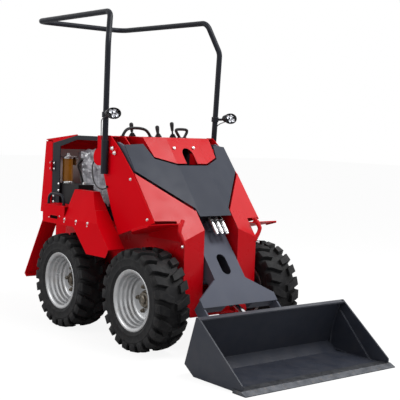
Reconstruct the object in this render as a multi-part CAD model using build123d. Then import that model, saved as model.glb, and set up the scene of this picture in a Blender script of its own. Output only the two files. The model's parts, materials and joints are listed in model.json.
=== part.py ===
from build123d import *
import os
from math import cos, pi, radians, sin, tan

# Compact skid steer loader with one central boom, a bucket and an open roll hoop.
# Millimetres. +X forward, +Y to the machine's left, +Z up, ground at Z = 0.
# Sizes below are written with X = 0 at the front axle; the model is moved at the end so that
# its origin lies at the middle of its length, on the ground.

# Wheels
WHEELBASE = 762
TYRE_RADIUS = 287.5
TYRE_WIDTH = 215
TYRE_MID_Y = 407
TYRE_FIT = 0.3
TYRE_BEAD = 7.5
TYRE_SIDES = 22
TYRE_SECTION = (  # radius to the flat of the ring, distance from the tyre's middle
    (172, 91),
    (236, 103),
    (262, 72),
)
LUG_PAIRS = 22
LUG_SECTION = (  # distance from the tyre's middle, radius: foot and shoulder
    (98, 234),
    (104.5, 268),
)
LUG_TIP = (8, 285, 256)  # distance from the middle, radius of its top and of its foot
SHORT_LUG_TIP = (45, 280.3, 256)
LUG_HALF_WIDTH = 13
LUG_WIDENING = 0.08
LUG_DRAFT = 0.2
LUG_LEAN = 0.48
RIM_RADIUS = 152
RIM_FLANGE_RADIUS = 171
RIM_WIDTH = 184
RIM_SHEET = 5
RIM_STEPS = (  # radius of the dish, distance outward from the tyre's middle
    (147, 70),
    (137, 60),
    (137, 46),
    (128, 38),
    (128, 22),
    (119, 14),
    (119, 0),
)
RIM_WELL = (  # radius and place of the tyre's side behind the disc
    (124, -22),
    (138, -32),
    (138, -62),
    (152, -70),
)
DISC_FLAT = 105
DISC_Y = 398
DISC_THICK = 8
HUB_RADIUS = 46
HUB_LENGTH = 22
BOLT_CIRCLE = 140
BOLT_COUNT = 5
BOLT_RADIUS = 9
BOLT_LENGTH = 12
AXLE_RADIUS = 58
AXLE_FLANGE_RADIUS = 95
AXLE_FLANGE = 14
WHEEL_GAP = 2
SPINDLE_RADIUS = 19
SPINDLE_CLEARANCE = 0.05
SPINDLE_PROUD = 5

# Front faces: a centre facet and two facets swept back beside it
FACET_X = -121
FACET_Z = 1021
FACET_HALF = 110
FACET_SLOPE = 51
FACET_SWEEP = 17.6
PLATE = 6

# Lower tub
TUB_REAR_X = -1100
TUB_FRONT_X = 148
TUB_HALF = 262
TUB_FLOOR_HALF = 204
TUB_FLOOR_Z = 191
TUB_BEND_Z = 363
TUB_TOP_Z = 640
TUB_SHEET = 8
FIREWALL_X = -470
FIREWALL_TOP = 900
CROSS_X = 120
CROSS_TOP = 290

# Towers beside the boom
TOWER_FRONT_X = 154
TOWER_INNER = 124
BOOM_GAP = 8
TUNNEL_TOP_Z = 780
TOWER_OUTER_TOP_Y = 383
TOWER_TOP_Z = 973
NECK_Y = 131
NECK_Z = 777
SHELF_LEVEL_Z = 718

# Side panels
PANEL_Y = 388
PANEL_TOP_Z = 1180
PANEL_REAR_X = -476
PANEL_FRONT_TOP_X = -418
PANEL_BROW = (-312, 1101)
PANEL_FACE_Z = (968, 712)
PANEL_FOOT = (  # x, z along the lower edge
    (-175, 652),
    (-309, 610),
    (-388, 755),
)
PANEL_REAR_Z = 949

# Hood
HOOD_RECESS = 2
HOOD_TOP_Z = 1177
HOOD_TOP_HALF = 247
HOOD_LOW_HALF = 228
HOOD_LOW_Z = 1065
HOOD_CENTRE_Z = 1031
HOOD_BACK_X = -470
SLOT_HALF = 40
SLOT_TOP_Z = 1119
EAR_Y = 296
EAR_PLATE = 8
EAR_LOW_Z = 1010
EAR_FRONT_X = -330

# Boom
PIVOT_X = -377
PIVOT_Z = 1093
PIVOT_RADIUS = 20
PIVOT_BOSS = 42
CHEEK_Y = 371
CHEEK_THICK = 18
CHEEK_FACE_Z = (1122, 990)
WING_FACE_Z = (1060, 930)
COVER_EDGE = (  # y, z round the left wing of the cover, seen from the front
    (233, 1056),
    (262, 1138),
    (371, 1129),
    (374, 986),
    (121, 789),
    (114, 747),
)
BOOM_TUBE_X = -184
BOOM_TUBE_Z = 862
BOOM_TUBE_RADIUS = 38
WING_Y = 285
WING_THICK = 8
STUB_TUBE_X = -230
STUB_TUBE_Z = 960
STUB_TUBE_RADIUS = 25
WEB_Y = 108
WEB_THICK = 12
ARM_HALF = 111
ARM_TOP_X = -30
ARM_TOP_Z = 735
ARM_TIP_X = 347
ARM_TIP_Z = 283
ARM_PLATE = 8
ARM_DEPTH = 76
WAIST_Z = 409
FLARE_Z = 322
FORK_Y = 270
FORK_THICK = 10
ARM_SLOT_LENGTH = 134
ARM_SLOT_WIDTH = 64
ARM_SLOT_Z = 482

# Bucket and its hitch
TILT_X = 455
TILT_Z = 130
TILT_PIN = 14
TILT_BOSS = 34
HITCH_GAP = 3
HITCH_EAR = 12
HITCH_PLATE = 12
BUCKET_HALF = 526
BUCKET_SHEET = 8
BUCKET_TOP_X = 600
BUCKET_TOP_Z = 305
BUCKET_BACK_X = 519
BUCKET_BACK_Z = 56
BUCKET_HEEL_X = 594
BUCKET_FLOOR_Z = 6
BUCKET_LIP = 32
BUCKET_EDGE_X = 994
EDGE_BACK_X = 900
EDGE_THICK = 20
EDGE_HALF = 535
SIDE_NOSE_X = 956
SIDE_NOSE_Z = 43
DOUBLER = 10
DOUBLER_TOP_X = 592
DOUBLER_TOP_Z = 262
DOUBLER_FRONT_X = 835

# Lift cylinder
LIFT_BASE_X = -420
LIFT_BASE_Z = 540
LIFT_EYE_X = -144
LIFT_EYE_Z = 904
LIFT_BARREL_RADIUS = 34
LIFT_ROD_RADIUS = 17
LIFT_BARREL = 400
LIFT_ROD_START = 80
# Tilt cylinder
CURL_BASE_X = 60
CURL_BASE_Z = 370
CURL_EYE_X = 455
CURL_EYE_Z = 200
CURL_BARREL_RADIUS = 28
CURL_ROD_RADIUS = 14
CURL_BARREL = 230
CURL_ROD_START = 95
# Both cylinders
EYE_RADIUS = 24
EYE_HALF = 16
NECK_LENGTH = 38
NECK_RADIUS = 15
BORE_START = 60
PIN_RADIUS = 12
PIN_CLEARANCE = 0.05
EAR_GAP = 1.5
EAR_THICK = 10
ROD_CLEARANCE = 0.05

# Engine bay and rear
BAY_FRAME_Y = 383
HINGE_LINE_X = -1079
BEAM_TOP_Z = 1171
BEAM_REAR_Z = 1116
BEAM_DEPTH = 26
ROOF_REAR_X = -1165
ROOF_REAR_Z = 1138
ROOF_EDGE_X = -1005
ROOF_BEND_X = -794
ROOF_TOP_Z = 1177
BAY_POST_FRONT_X = -992
DOOR_LOW_Z = 668
DOOR_LOW_X = -1222
DOOR_TOP_Z = 1125
DOOR_LEAN = 0.12
DOOR_SHEET = 6
DOOR_GAP = 7
HINGE_Y = 392
HINGE_RADIUS = 8
HINGE_PIN = 4
HINGE_CLEARANCE = 0.05
HINGE_HALF = 26
HINGE_EAR = 5
HINGE_LEAF = 3
HINGE_REACH = 36
HINGE_Z = (762, 971)
BUMPER_TOP_Z = 646
BUMPER_LOW_Z = 330
BUMPER_LOW_X = -1232
DECK_Z = 640
DECK_SHEET = 6
FOOTWELL_REAR_X = -640
FOOTWELL_HALF = 210

# Rear fenders
FENDER_Y = 500
FENDER_TOP_Z = 742
FENDER_REAR_X = -985
FENDER_ARCH_Z = 629
FENDER_SHEET = 5
FENDER_NOSE_X = -239
FENDER_NOSE_Z = 537
FENDER_CREST_X = -425
FENDER_ARCH = (  # x, z of the wheel arch's corners
    (-621, 629),
    (-469, 486),
    (-268, 488),
)
FENDER_DROP_Z = 300
WALL_DEPTH = 6
FENDER_FOLD_Z = 672
FENDER_LEDGE = 9
BOX_TOP_Y = 427
BOX_TOP_Z = 845
BOX_REAR_X = -730
BOX_FRONT_X = -514
TAIL_TIP_X = -1204
TAIL_TIP_Z = 271
TAIL_LIP_X = -1179
TAIL_LIP_Z = 252

# Front fenders
SHELF_TABLE = (  # hand, side, front x
    ("right", -1, 132),
    ("left", 1, 72),
)
SHELF_REAR_X = -15
SHELF_ROOT_X = -175
SHELF_Z = 681
SHELF_RISE = 15
SHELF_LIP = 12
SHELF_FLANGE_Z = 612

# Roll hoop
PIPE_RADIUS = 17
SOCKET_RADIUS = 21
POST_X = -440
POST_Y = 409.5
SOCKET_LOW_Z = 955
SOCKET_TOP_Z = 1150
KINK_X = -420
KINK_Y = 419
KINK_Z = 1714
CORNER_X = -490
CORNER_Y = 363
CORNER_Z = 1904
HOOP_REAR_X = -1399
HOOP_REAR_Y = 335
HOOP_REAR_Z = 1908
HOOP_BEND = 70

# Lamps
LAMP_X = -335
LAMP_Y = 438
LAMP_Z = 1307
LAMP_HALF_WIDTH = 47
LAMP_HALF_HEIGHT = 30
LAMP_DEPTH = 50
LAMP_BEZEL = 3
LAMP_BEZEL_DEPTH = 9
LAMP_TAPER = 10
LAMP_ARM_RADIUS = 8

# Console
CONSOLE_REAR_X = -560
CONSOLE_LOW_Z = 1080
CONSOLE_HALF = 383
CONSOLE_SIDE_X = -600
CONSOLE_SIDE_Z = 1000
CONSOLE_SIDE_ROUND = 48
LEVER_X = -516
LEVER_TABLE = (  # y, top z
    (-188, 1260),
    (6, 1248),
    (118, 1273),
)
LEVER_RADIUS = 6
KNOB_RADIUS = 13
KNOB_LENGTH = 55
GRAB_X = -450
GRAB_RADIUS = 9
GRAB_TABLE = (  # y from, y to, top z, corner radius
    (-285, -75, 1226, 40),
    (109, 205, 1229, 20),
)

# Engine, the seat over it and the things beside it
ENGINE_FRONT_X = -660
ENGINE_REAR_X = -1060
ENGINE_HALF = 190
ENGINE_TOP_Z = 625
SEAT_HALF = 250
SEAT_FRONT_X = -640
SEAT_REAR_X = -960
SEAT_LOW_Z = 762
SEAT_REAR_Z = 858
SEAT_FRONT_Z = 815
SEAT_ROUND = 28
BACKREST_TOP_X = -1020
BACKREST_TOP_Z = 1100
BACKREST_THICK = 62
SEAT_BOX_HALF = 170
SEAT_BOX_X = (-930, -690)
CANISTER_X = -995
CANISTER_Y = -322
CANISTER_RADIUS = 33
CANISTER_TOP_Z = 1031
BATTERY_FRONT_X = -790
BATTERY_REAR_X = -1030
BATTERY_Y = (-365, -255)
BATTERY_TOP_Z = 866

# Small fixed things
LOOP_RADIUS = 8
LOOP_TOP = (130, 261, 732)
LOOP_OUT = (149, 303, 669)
LOOP_LOW = (146, 261, 598)
RAIL_RADIUS = 9
RAIL_Y = 470
RAIL_FRONT_X = -785
RAIL_REAR_X = -1005
RAIL_TOP_Z = 806
RAIL_BEND = 45
TOW_X = -1275
TOW_Z = 370
TOW_RADIUS = 13
TOW_PLATE = 12
TOW_HALF = 40
COUPLER_RADIUS = 15
COUPLER_LENGTH = 84
COUPLER_Y = (-2, 36, 74)
COUPLER_PROUD = 46

ORIGIN_X = (BUCKET_EDGE_X + HOOP_REAR_X - PIPE_RADIUS) / 2
SIDES = (("right", -1), ("left", 1))
AXLES = (("front", 0), ("rear", -WHEELBASE))
BEYOND = 5000  # larger than the machine, for a half space
parts = {}


def side_plate(points, y0, y1):
    """A plate whose outline is given as (x, z), between two values of y."""
    face = Plane(origin=(0, y0, 0), x_dir=(1, 0, 0), z_dir=(0, -1, 0)) * Polygon(*points, align=None)
    return extrude(face, amount=y1 - y0, dir=(0, 1, 0))


def front_plate(points, x0, x1):
    """A plate whose outline is given as (y, z), between two values of x."""
    face = Plane(origin=(x0, 0, 0), x_dir=(0, 1, 0), z_dir=(1, 0, 0)) * Polygon(*points, align=None)
    return extrude(face, amount=x1 - x0, dir=(1, 0, 0))


def flat_plate(points, z0, z1):
    """A plate whose outline is given as (x, y), between two values of z."""
    face = Plane(origin=(0, 0, z0)) * Polygon(*points, align=None)
    return extrude(face, amount=z1 - z0, dir=(0, 0, 1))


def block(low, high):
    size = [b - a for a, b in zip(low, high)]
    return Pos(*low) * Box(*size, align=(Align.MIN, Align.MIN, Align.MIN))


def rod(start, end, radius):
    """A round bar from one point to another."""
    start, end = Vector(*start), Vector(*end)
    run = end - start
    return extrude(Plane(origin=start, z_dir=run) * Circle(radius), amount=run.length)


def pipe(points, radius, radii):
    path = FilletPolyline(*points, radius=radii)
    return sweep(Plane(origin=path @ 0, z_dir=path % 0) * Circle(radius), path=path)


def mirrored(solid, sign):
    return solid if sign > 0 else mirror(solid, about=Plane.XZ)


def both(solid):
    return solid + mirror(solid, about=Plane.XZ)


def save(name, *solids):
    parts[name] = list(solids)


# The three front facets and the solid space behind them
slope = radians(FACET_SLOPE)
down_slope = Vector(cos(slope), 0, -sin(slope))
centre_normal = Vector(sin(slope), 0, cos(slope))


def facet_planes(depth):
    planes = []
    for sign in (-1, 0, 1):
        across = Vector(-tan(radians(FACET_SWEEP)), sign, 0)
        normal = down_slope.cross(across) * sign if sign else centre_normal
        normal = normal.normalized()
        point = Vector(FACET_X, sign * FACET_HALF, FACET_Z) - normal * depth
        planes.append(Plane(origin=point, z_dir=normal))
    return planes


def behind(depth):
    """The space behind the front facets, from this depth on."""
    space = None
    for plane in facet_planes(depth):
        half = plane * Box(BEYOND, BEYOND, BEYOND, align=(Align.CENTER, Align.CENTER, Align.MAX))
        space = half if space is None else space & half
    return space


def facet_x(y, z, depth=0):
    """Where a front facet lies, for a place seen from the front."""
    x = FACET_X + (FACET_Z - z) / tan(slope) - depth / sin(slope)
    return x - tan(radians(FACET_SWEEP)) * max(0, abs(y) - FACET_HALF)


def skin(points, depth, thickness):
    """A folded plate on the front facets, from its outline seen from the front."""
    return front_plate(points, -700, 500) & (behind(depth) - behind(depth + thickness))


def symmetric(points):
    """A closed outline from its left half, given from the top to the bottom as (y, z)."""
    return list(points) + [(-y, z) for y, z in reversed(points)]


# Wheels
def flat_faced(rings, closed=False):
    """A solid with flat faces between rings that have the same number of corners."""
    faces = [] if closed else [Face(Wire.make_polygon(ring)) for ring in (rings[0], rings[-1])]
    for low, high in zip(rings, rings[1:] + rings[:1] if closed else rings[1:]):
        for i in range(len(low)):
            j = (i + 1) % len(low)
            faces.append(Face(Wire.make_polygon([low[i], low[j], high[j], high[i]])))
    return Solid(Shell(faces))


def tread_ring(radius, y):
    corner = radius / cos(pi / TYRE_SIDES)
    turns = [2 * pi * i / TYRE_SIDES for i in range(TYRE_SIDES)]
    return [Vector(corner * cos(turn), y, corner * sin(turn)) for turn in turns]


def lug(turn, outward, tip):
    """One leaning lug, a section that is wider at its foot, at an angle round the tyre."""
    radial, along = Vector(cos(turn), 0, sin(turn)), Vector(sin(turn), 0, -cos(turn))
    start = LUG_SECTION[1][0]
    lag = LUG_LEAN * (start - tip[0]) / 2
    sides = ([], [])
    for y, radius in (*LUG_SECTION, tip[:2], (tip[0], tip[2])):
        middle = LUG_LEAN * (start - y) - lag
        half = LUG_HALF_WIDTH + LUG_WIDENING * y + LUG_DRAFT * (TYRE_RADIUS - radius)
        for side, sign in zip(sides, (-1, 1)):
            side.append(radial * radius + along * (middle + sign * half) + Vector(0, outward * y, 0))
    return flat_faced(list(sides))


def tyre():
    seat = (RIM_RADIUS + TYRE_FIT, RIM_WIDTH / 2 - TYRE_BEAD)
    half = [seat, *TYRE_SECTION]
    carcass = flat_faced([tread_ring(r, -y) for r, y in half] + [tread_ring(r, y) for r, y in reversed(half)], True)
    lugs = []
    for i in range(LUG_PAIRS):
        for outward, shift in ((-1, 0.25), (1, 0.75)):
            turn = 2 * pi * (i + shift) / LUG_PAIRS
            lugs.append(lug(turn, outward, SHORT_LUG_TIP if i % 2 else LUG_TIP))
    return Pos(0, TYRE_MID_Y, 0) * carcass.fuse(*lugs)


def rim():
    """A dished wheel: a flange each side, steps down to the disc, a hub and its bolts."""
    out, seat, lip = RIM_WIDTH / 2, RIM_RADIUS, RIM_RADIUS - RIM_SHEET
    disc = DISC_Y - TYRE_MID_Y
    back = disc - DISC_THICK
    tyre_side = [(RIM_FLANGE_RADIUS, out), (seat, out - 6), (seat, RIM_STEPS[0][1] - 4)]
    tyre_side += [(r + RIM_SHEET, y - 4) for r, y in RIM_STEPS[1:-1]] + list(RIM_WELL)
    tyre_side += [(seat, -out + 6), (RIM_FLANGE_RADIUS, -out)]
    well = [(r - RIM_SHEET, y - 3) for r, y in reversed(RIM_WELL)]
    hidden = [(RIM_FLANGE_RADIUS - 3, -out - 2), (lip, -out + 3), *well, (well[-1][0], back), (0, back)]
    dish = [(0, disc), (DISC_FLAT, disc), *reversed(RIM_STEPS), (lip, out - 3), (RIM_FLANGE_RADIUS - 3, out + 2)]
    wheel = revolve(Plane.XY * Polygon(*tyre_side, *hidden, *dish, align=None), axis=Axis.Y)
    face = disc + HUB_LENGTH
    wheel += rod((0, disc, 0), (0, face, 0), HUB_RADIUS)
    for i in range(BOLT_COUNT):
        turn = radians(180 + i * 360 / BOLT_COUNT)
        x, z = BOLT_CIRCLE / 2 * cos(turn), BOLT_CIRCLE / 2 * sin(turn)
        wheel += rod((x, disc, z), (x, disc + BOLT_LENGTH, z), BOLT_RADIUS)
    wheel -= rod((0, back, 0), (0, face, 0), SPINDLE_RADIUS + SPINDLE_CLEARANCE)
    return Pos(0, TYRE_MID_Y, 0) * wheel


def stub_axle():
    inner_face = DISC_Y - DISC_THICK - WHEEL_GAP
    axle = rod((0, TUB_HALF, 0), (0, inner_face, 0), AXLE_RADIUS)
    axle += rod((0, inner_face, 0), (0, DISC_Y + HUB_LENGTH + SPINDLE_PROUD, 0), SPINDLE_RADIUS)
    return axle + rod((0, TUB_HALF, 0), (0, TUB_HALF + AXLE_FLANGE, 0), AXLE_FLANGE_RADIUS)


one_rim, one_tyre, one_stub = rim(), tyre(), stub_axle()
stubs = []
for end, axle_x in AXLES:
    for hand, sign in SIDES:
        place = Pos(axle_x, 0, TYRE_RADIUS)
        save(f"tyre_{end}_{hand}", place * mirrored(one_tyre, sign))
        save(f"rim_{end}_{hand}", place * mirrored(one_rim, sign))
        stubs.append(place * mirrored(one_stub, sign))
save("axle_stubs", *stubs)


# Lower tub
def tub_section(inset):
    low = TUB_FLOOR_Z + inset
    return symmetric([
        (TUB_HALF - inset, TUB_TOP_Z + (100 if inset else 0)),
        (TUB_HALF - inset, TUB_BEND_Z + inset / 4), (TUB_FLOOR_HALF - inset / 1.2, low),
    ])


tub = front_plate(tub_section(0), TUB_REAR_X, TUB_FRONT_X)
tub -= front_plate(tub_section(TUB_SHEET), TUB_REAR_X + TUB_SHEET, TUB_FRONT_X + 50)
inside = front_plate(tub_section(TUB_SHEET), TUB_REAR_X, TUB_FRONT_X)
tub += inside & block((CROSS_X - TUB_SHEET, -TOWER_INNER, 0), (CROSS_X, TOWER_INNER, CROSS_TOP))
wall_half = TUB_HALF - TUB_SHEET
tub += block((FIREWALL_X - TUB_SHEET, -wall_half, TUB_FLOOR_Z + 2), (FIREWALL_X, wall_half, FIREWALL_TOP)) & (
    front_plate(symmetric([(wall_half, FIREWALL_TOP), (wall_half, TUB_BEND_Z + 2),
                           (TUB_FLOOR_HALF - 7, TUB_FLOOR_Z + 2)]), FIREWALL_X - 20, FIREWALL_X))
lift_ear = side_plate([(FIREWALL_X, LIFT_BASE_Z + 50), (LIFT_BASE_X, LIFT_BASE_Z + 26),
                       (LIFT_BASE_X + 24, LIFT_BASE_Z), (LIFT_BASE_X, LIFT_BASE_Z - 26),
                       (FIREWALL_X, LIFT_BASE_Z - 50)],
                      EYE_HALF + EAR_GAP, EYE_HALF + EAR_GAP + EAR_THICK)
lift_pin_half = EYE_HALF + EAR_GAP + EAR_THICK
tub += both(lift_ear)
tub += rod((LIFT_BASE_X, -lift_pin_half, LIFT_BASE_Z), (LIFT_BASE_X, lift_pin_half, LIFT_BASE_Z), PIN_RADIUS)
save("chassis_tub", tub & behind(PLATE))
deck_front_x = FIREWALL_X - TUB_SHEET
deck = block((TUB_REAR_X, -BAY_FRAME_Y, DECK_Z), (deck_front_x, BAY_FRAME_Y, DECK_Z + DECK_SHEET))
deck -= block((FOOTWELL_REAR_X, -FOOTWELL_HALF, DECK_Z - 1), (deck_front_x + 1, FOOTWELL_HALF, DECK_Z + DECK_SHEET + 1))
save("seat_deck", deck)


# Towers: front plate, inner wall and the sloping face
def tower():
    front = front_plate([(TOWER_INNER, TUB_FLOOR_Z), (TUB_FLOOR_HALF, TUB_FLOOR_Z), (TUB_HALF, TUB_BEND_Z),
                         (TUB_HALF, 660), (TOWER_INNER, 700)], TUB_FRONT_X, TOWER_FRONT_X)
    inner = block((FIREWALL_X, TOWER_INNER, TUB_FLOOR_Z + TUB_SHEET),
                  (TUB_FRONT_X, TOWER_INNER + PLATE, NECK_Z + 200))
    inner -= side_plate([(FIREWALL_X - 1, 1300), (FIREWALL_X - 1, TUNNEL_TOP_Z), (-70, TUNNEL_TOP_Z), (20, 850),
                         (200, 850), (200, 1300)], 0, 400)
    face = front_plate([(NECK_Y, NECK_Z), (TOWER_OUTER_TOP_Y, TOWER_TOP_Z), (TOWER_OUTER_TOP_Y, SHELF_LEVEL_Z + 4),
                        (TUB_HALF, SHELF_LEVEL_Z + 4), (TUB_HALF, 560), (TOWER_INNER, 560),
                        (TOWER_INNER, 680)], -700, TOWER_FRONT_X)
    face &= behind(0) - behind(PLATE)
    boom_space = block((-700, 0, NECK_Z), (500, NECK_Y, 1400)) - behind(PLATE + BOOM_GAP)
    return ((front + inner) & behind(0)) + face - boom_space


def tie_down():
    x, y, z = LOOP_TOP
    path = [(x, y, z - 26), (x + 4, y + 26, z - 12), LOOP_OUT, (LOOP_LOW[0], LOOP_LOW[1], LOOP_LOW[2] + 20)]
    return pipe(path, LOOP_RADIUS, 14) - block((0, 0, 0), (400, TUB_HALF, 1000))


for hand, sign in SIDES:
    save(f"tower_{hand}", mirrored(tower() + tie_down(), sign))


# Side panels with the pivot's keeper
def panel():
    top_z, low_z = PANEL_FACE_Z
    points = [(PANEL_REAR_X, PANEL_TOP_Z), (PANEL_FRONT_TOP_X, PANEL_TOP_Z), PANEL_BROW,
              (facet_x(PANEL_Y, top_z, PLATE), top_z), (facet_x(PANEL_Y, low_z, 2), low_z),
              *PANEL_FOOT, (PANEL_REAR_X, PANEL_REAR_Z)]
    plate = side_plate(points, PANEL_Y - PLATE + 1, PANEL_Y)
    pin = rod((PIVOT_X, CHEEK_Y - CHEEK_THICK - 4, PIVOT_Z), (PIVOT_X, PANEL_Y - PLATE + 1, PIVOT_Z), PIVOT_RADIUS)
    keeper = block((PIVOT_X - 34, PANEL_Y, PIVOT_Z - 16), (PIVOT_X + 34, PANEL_Y + 8, PIVOT_Z + 16))
    return plate + pin + keeper


for hand, sign in SIDES:
    save(f"side_panel_{hand}", mirrored(panel(), sign))


# Hood between the side panels, with the slot that the lift cylinder passes at full height
def hood_section(inset):
    extra = 60 if inset else 0
    return symmetric([
        (HOOD_TOP_HALF - inset, HOOD_TOP_Z - inset), (HOOD_LOW_HALF - inset, HOOD_LOW_Z - extra),
        (FACET_HALF, HOOD_CENTRE_Z - extra),
    ])


hood = front_plate(hood_section(0), HOOD_BACK_X, 100) & behind(HOOD_RECESS)
hood -= front_plate(hood_section(PLATE), HOOD_BACK_X, 100) & behind(HOOD_RECESS + PLATE)
slot = block((-400, -SLOT_HALF, HOOD_CENTRE_Z - 50), (100, SLOT_HALF, SLOT_TOP_Z - SLOT_HALF))
slot += rod((-400, 0, SLOT_TOP_Z - SLOT_HALF), (100, 0, SLOT_TOP_Z - SLOT_HALF), SLOT_HALF)
hood -= slot


# Ears inside the boom's cheeks, and the rails that tie them to the side panels
def ear():
    plate = side_plate([(PANEL_REAR_X + 6, HOOD_TOP_Z), (EAR_FRONT_X - 70, HOOD_TOP_Z), (EAR_FRONT_X, PIVOT_Z + 27),
                        (EAR_FRONT_X, PIVOT_Z - 33), (EAR_FRONT_X - 70, EAR_LOW_Z), (PANEL_REAR_X + 6, EAR_LOW_Z)], EAR_Y, EAR_Y + EAR_PLATE)
    rail = block((PANEL_REAR_X + 6, HOOD_TOP_HALF - PLATE, HOOD_TOP_Z - PLATE),
                 (PANEL_REAR_X + 46, PANEL_Y - PLATE + 1, HOOD_TOP_Z))
    back = block((PANEL_REAR_X, HOOD_TOP_HALF, EAR_LOW_Z), (PANEL_REAR_X + 6, PANEL_Y - PLATE + 1, HOOD_TOP_Z))
    pin = rod((PIVOT_X, EAR_Y, PIVOT_Z), (PIVOT_X, CHEEK_Y - CHEEK_THICK - 4.5, PIVOT_Z), PIVOT_RADIUS)
    return plate + rail + back + pin


save("front_hood", hood + both(ear()))

# Console with the levers and grab handles
console = block((CONSOLE_REAR_X, -CONSOLE_HALF, CONSOLE_LOW_Z), (PANEL_REAR_X, CONSOLE_HALF, HOOD_TOP_Z))
console -= block((CONSOLE_REAR_X - 1, -CONSOLE_HALF + PLATE, CONSOLE_LOW_Z - 1),
                 (PANEL_REAR_X - PLATE, CONSOLE_HALF - PLATE, HOOD_TOP_Z - PLATE))
wing_plate = block((CONSOLE_SIDE_X, -CONSOLE_HALF, CONSOLE_SIDE_Z), (PANEL_REAR_X, -CONSOLE_HALF + PLATE, CONSOLE_LOW_Z + 20))
wing_plate = fillet(wing_plate.edges().filter_by(Axis.Y).group_by(Axis.X)[0], CONSOLE_SIDE_ROUND)
console += both(wing_plate)
levers = []
for lever_y, top in LEVER_TABLE:
    stick = rod((LEVER_X, lever_y, HOOD_TOP_Z), (LEVER_X, lever_y, top - KNOB_LENGTH + 5), LEVER_RADIUS)
    knob = Pos(LEVER_X, lever_y, top - KNOB_LENGTH) * Cone(KNOB_RADIUS * 0.7, KNOB_RADIUS, KNOB_LENGTH,
                                                          align=(Align.CENTER, Align.CENTER, Align.MIN))
    boot = Pos(LEVER_X, lever_y, HOOD_TOP_Z) * Cone(22, 9, 24, align=(Align.CENTER, Align.CENTER, Align.MIN))
    levers.append(stick + knob + boot)
for y0, y1, top, bend in GRAB_TABLE:
    middle = top - GRAB_RADIUS
    levers.append(pipe([(GRAB_X, y0, HOOD_TOP_Z), (GRAB_X, y0, middle), (GRAB_X, y1, middle),
                       (GRAB_X, y1, HOOD_TOP_Z)], GRAB_RADIUS, bend if bend < middle - HOOD_TOP_Z else 25))
save("hand_controls", *levers)

# Boom: folded cover, cheeks, cross tube, arm and fork
cover_outline = symmetric([(FACET_HALF, FACET_Z), *COVER_EDGE])
lift_ear_points = [(facet_x(0, 960, PLATE), 960), (facet_x(0, 860, PLATE), 860), (LIFT_EYE_X + 8, LIFT_EYE_Z - 30),
                   (LIFT_EYE_X - 22, LIFT_EYE_Z - 12), (LIFT_EYE_X - 18, LIFT_EYE_Z + 20)]
rod_ear = side_plate(lift_ear_points, EYE_HALF + EAR_GAP, EYE_HALF + EAR_GAP + EAR_THICK)
save("boom_cover", skin(cover_outline, 0, PLATE) + both(rod_ear))

cheek_inner = CHEEK_Y - CHEEK_THICK
cheek_points = [*[(facet_x(CHEEK_Y, z, PLATE + 1), z) for z in CHEEK_FACE_Z],
                (STUB_TUBE_X + 22, STUB_TUBE_Z + 2), (STUB_TUBE_X + 4, STUB_TUBE_Z - 26),
                (STUB_TUBE_X - 26, STUB_TUBE_Z - 24), (STUB_TUBE_X - 70, STUB_TUBE_Z - 10), (PIVOT_X - PIVOT_BOSS, PIVOT_Z - 10),
                (PIVOT_X - 30, PIVOT_Z + 40), (PIVOT_X + 10, PIVOT_Z + 50)]
cheek = side_plate(cheek_points, cheek_inner, CHEEK_Y)
cheek -= rod((PIVOT_X, 0, PIVOT_Z), (PIVOT_X, 500, PIVOT_Z), PIVOT_RADIUS + PIN_CLEARANCE)
web_inner = WEB_Y - WEB_THICK
half_tube = rod((BOOM_TUBE_X, web_inner, BOOM_TUBE_Z), (BOOM_TUBE_X, WING_Y, BOOM_TUBE_Z), BOOM_TUBE_RADIUS)
wing = side_plate([*[(facet_x(WING_Y, z, PLATE + 1), z) for z in WING_FACE_Z],
                   (BOOM_TUBE_X + 30, BOOM_TUBE_Z - 24), (BOOM_TUBE_X - 30, BOOM_TUBE_Z - 24),
                   (STUB_TUBE_X - 32, STUB_TUBE_Z - 10), (STUB_TUBE_X - 32, STUB_TUBE_Z + 50)],
                  WING_Y - WING_THICK, WING_Y)
stub_tube = rod((STUB_TUBE_X, WING_Y - WING_THICK, STUB_TUBE_Z), (STUB_TUBE_X, cheek_inner, STUB_TUBE_Z),
                STUB_TUBE_RADIUS)
frame_half = cheek + stub_tube + wing + half_tube
save("boom_frame", frame_half, mirror(frame_half, about=Plane.XZ))

arm_run = Vector(ARM_TIP_X - ARM_TOP_X, 0, ARM_TIP_Z - ARM_TOP_Z).normalized()
arm_out = Vector(-arm_run.Z, 0, arm_run.X)


def arm_point(z, depth):
    """A point of the arm's side view, at a height on its face and a depth behind that face."""
    x = ARM_TIP_X + (z - ARM_TIP_Z) * arm_run.X / arm_run.Z
    return (x - arm_out.X * depth, z - arm_out.Z * depth)


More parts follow.
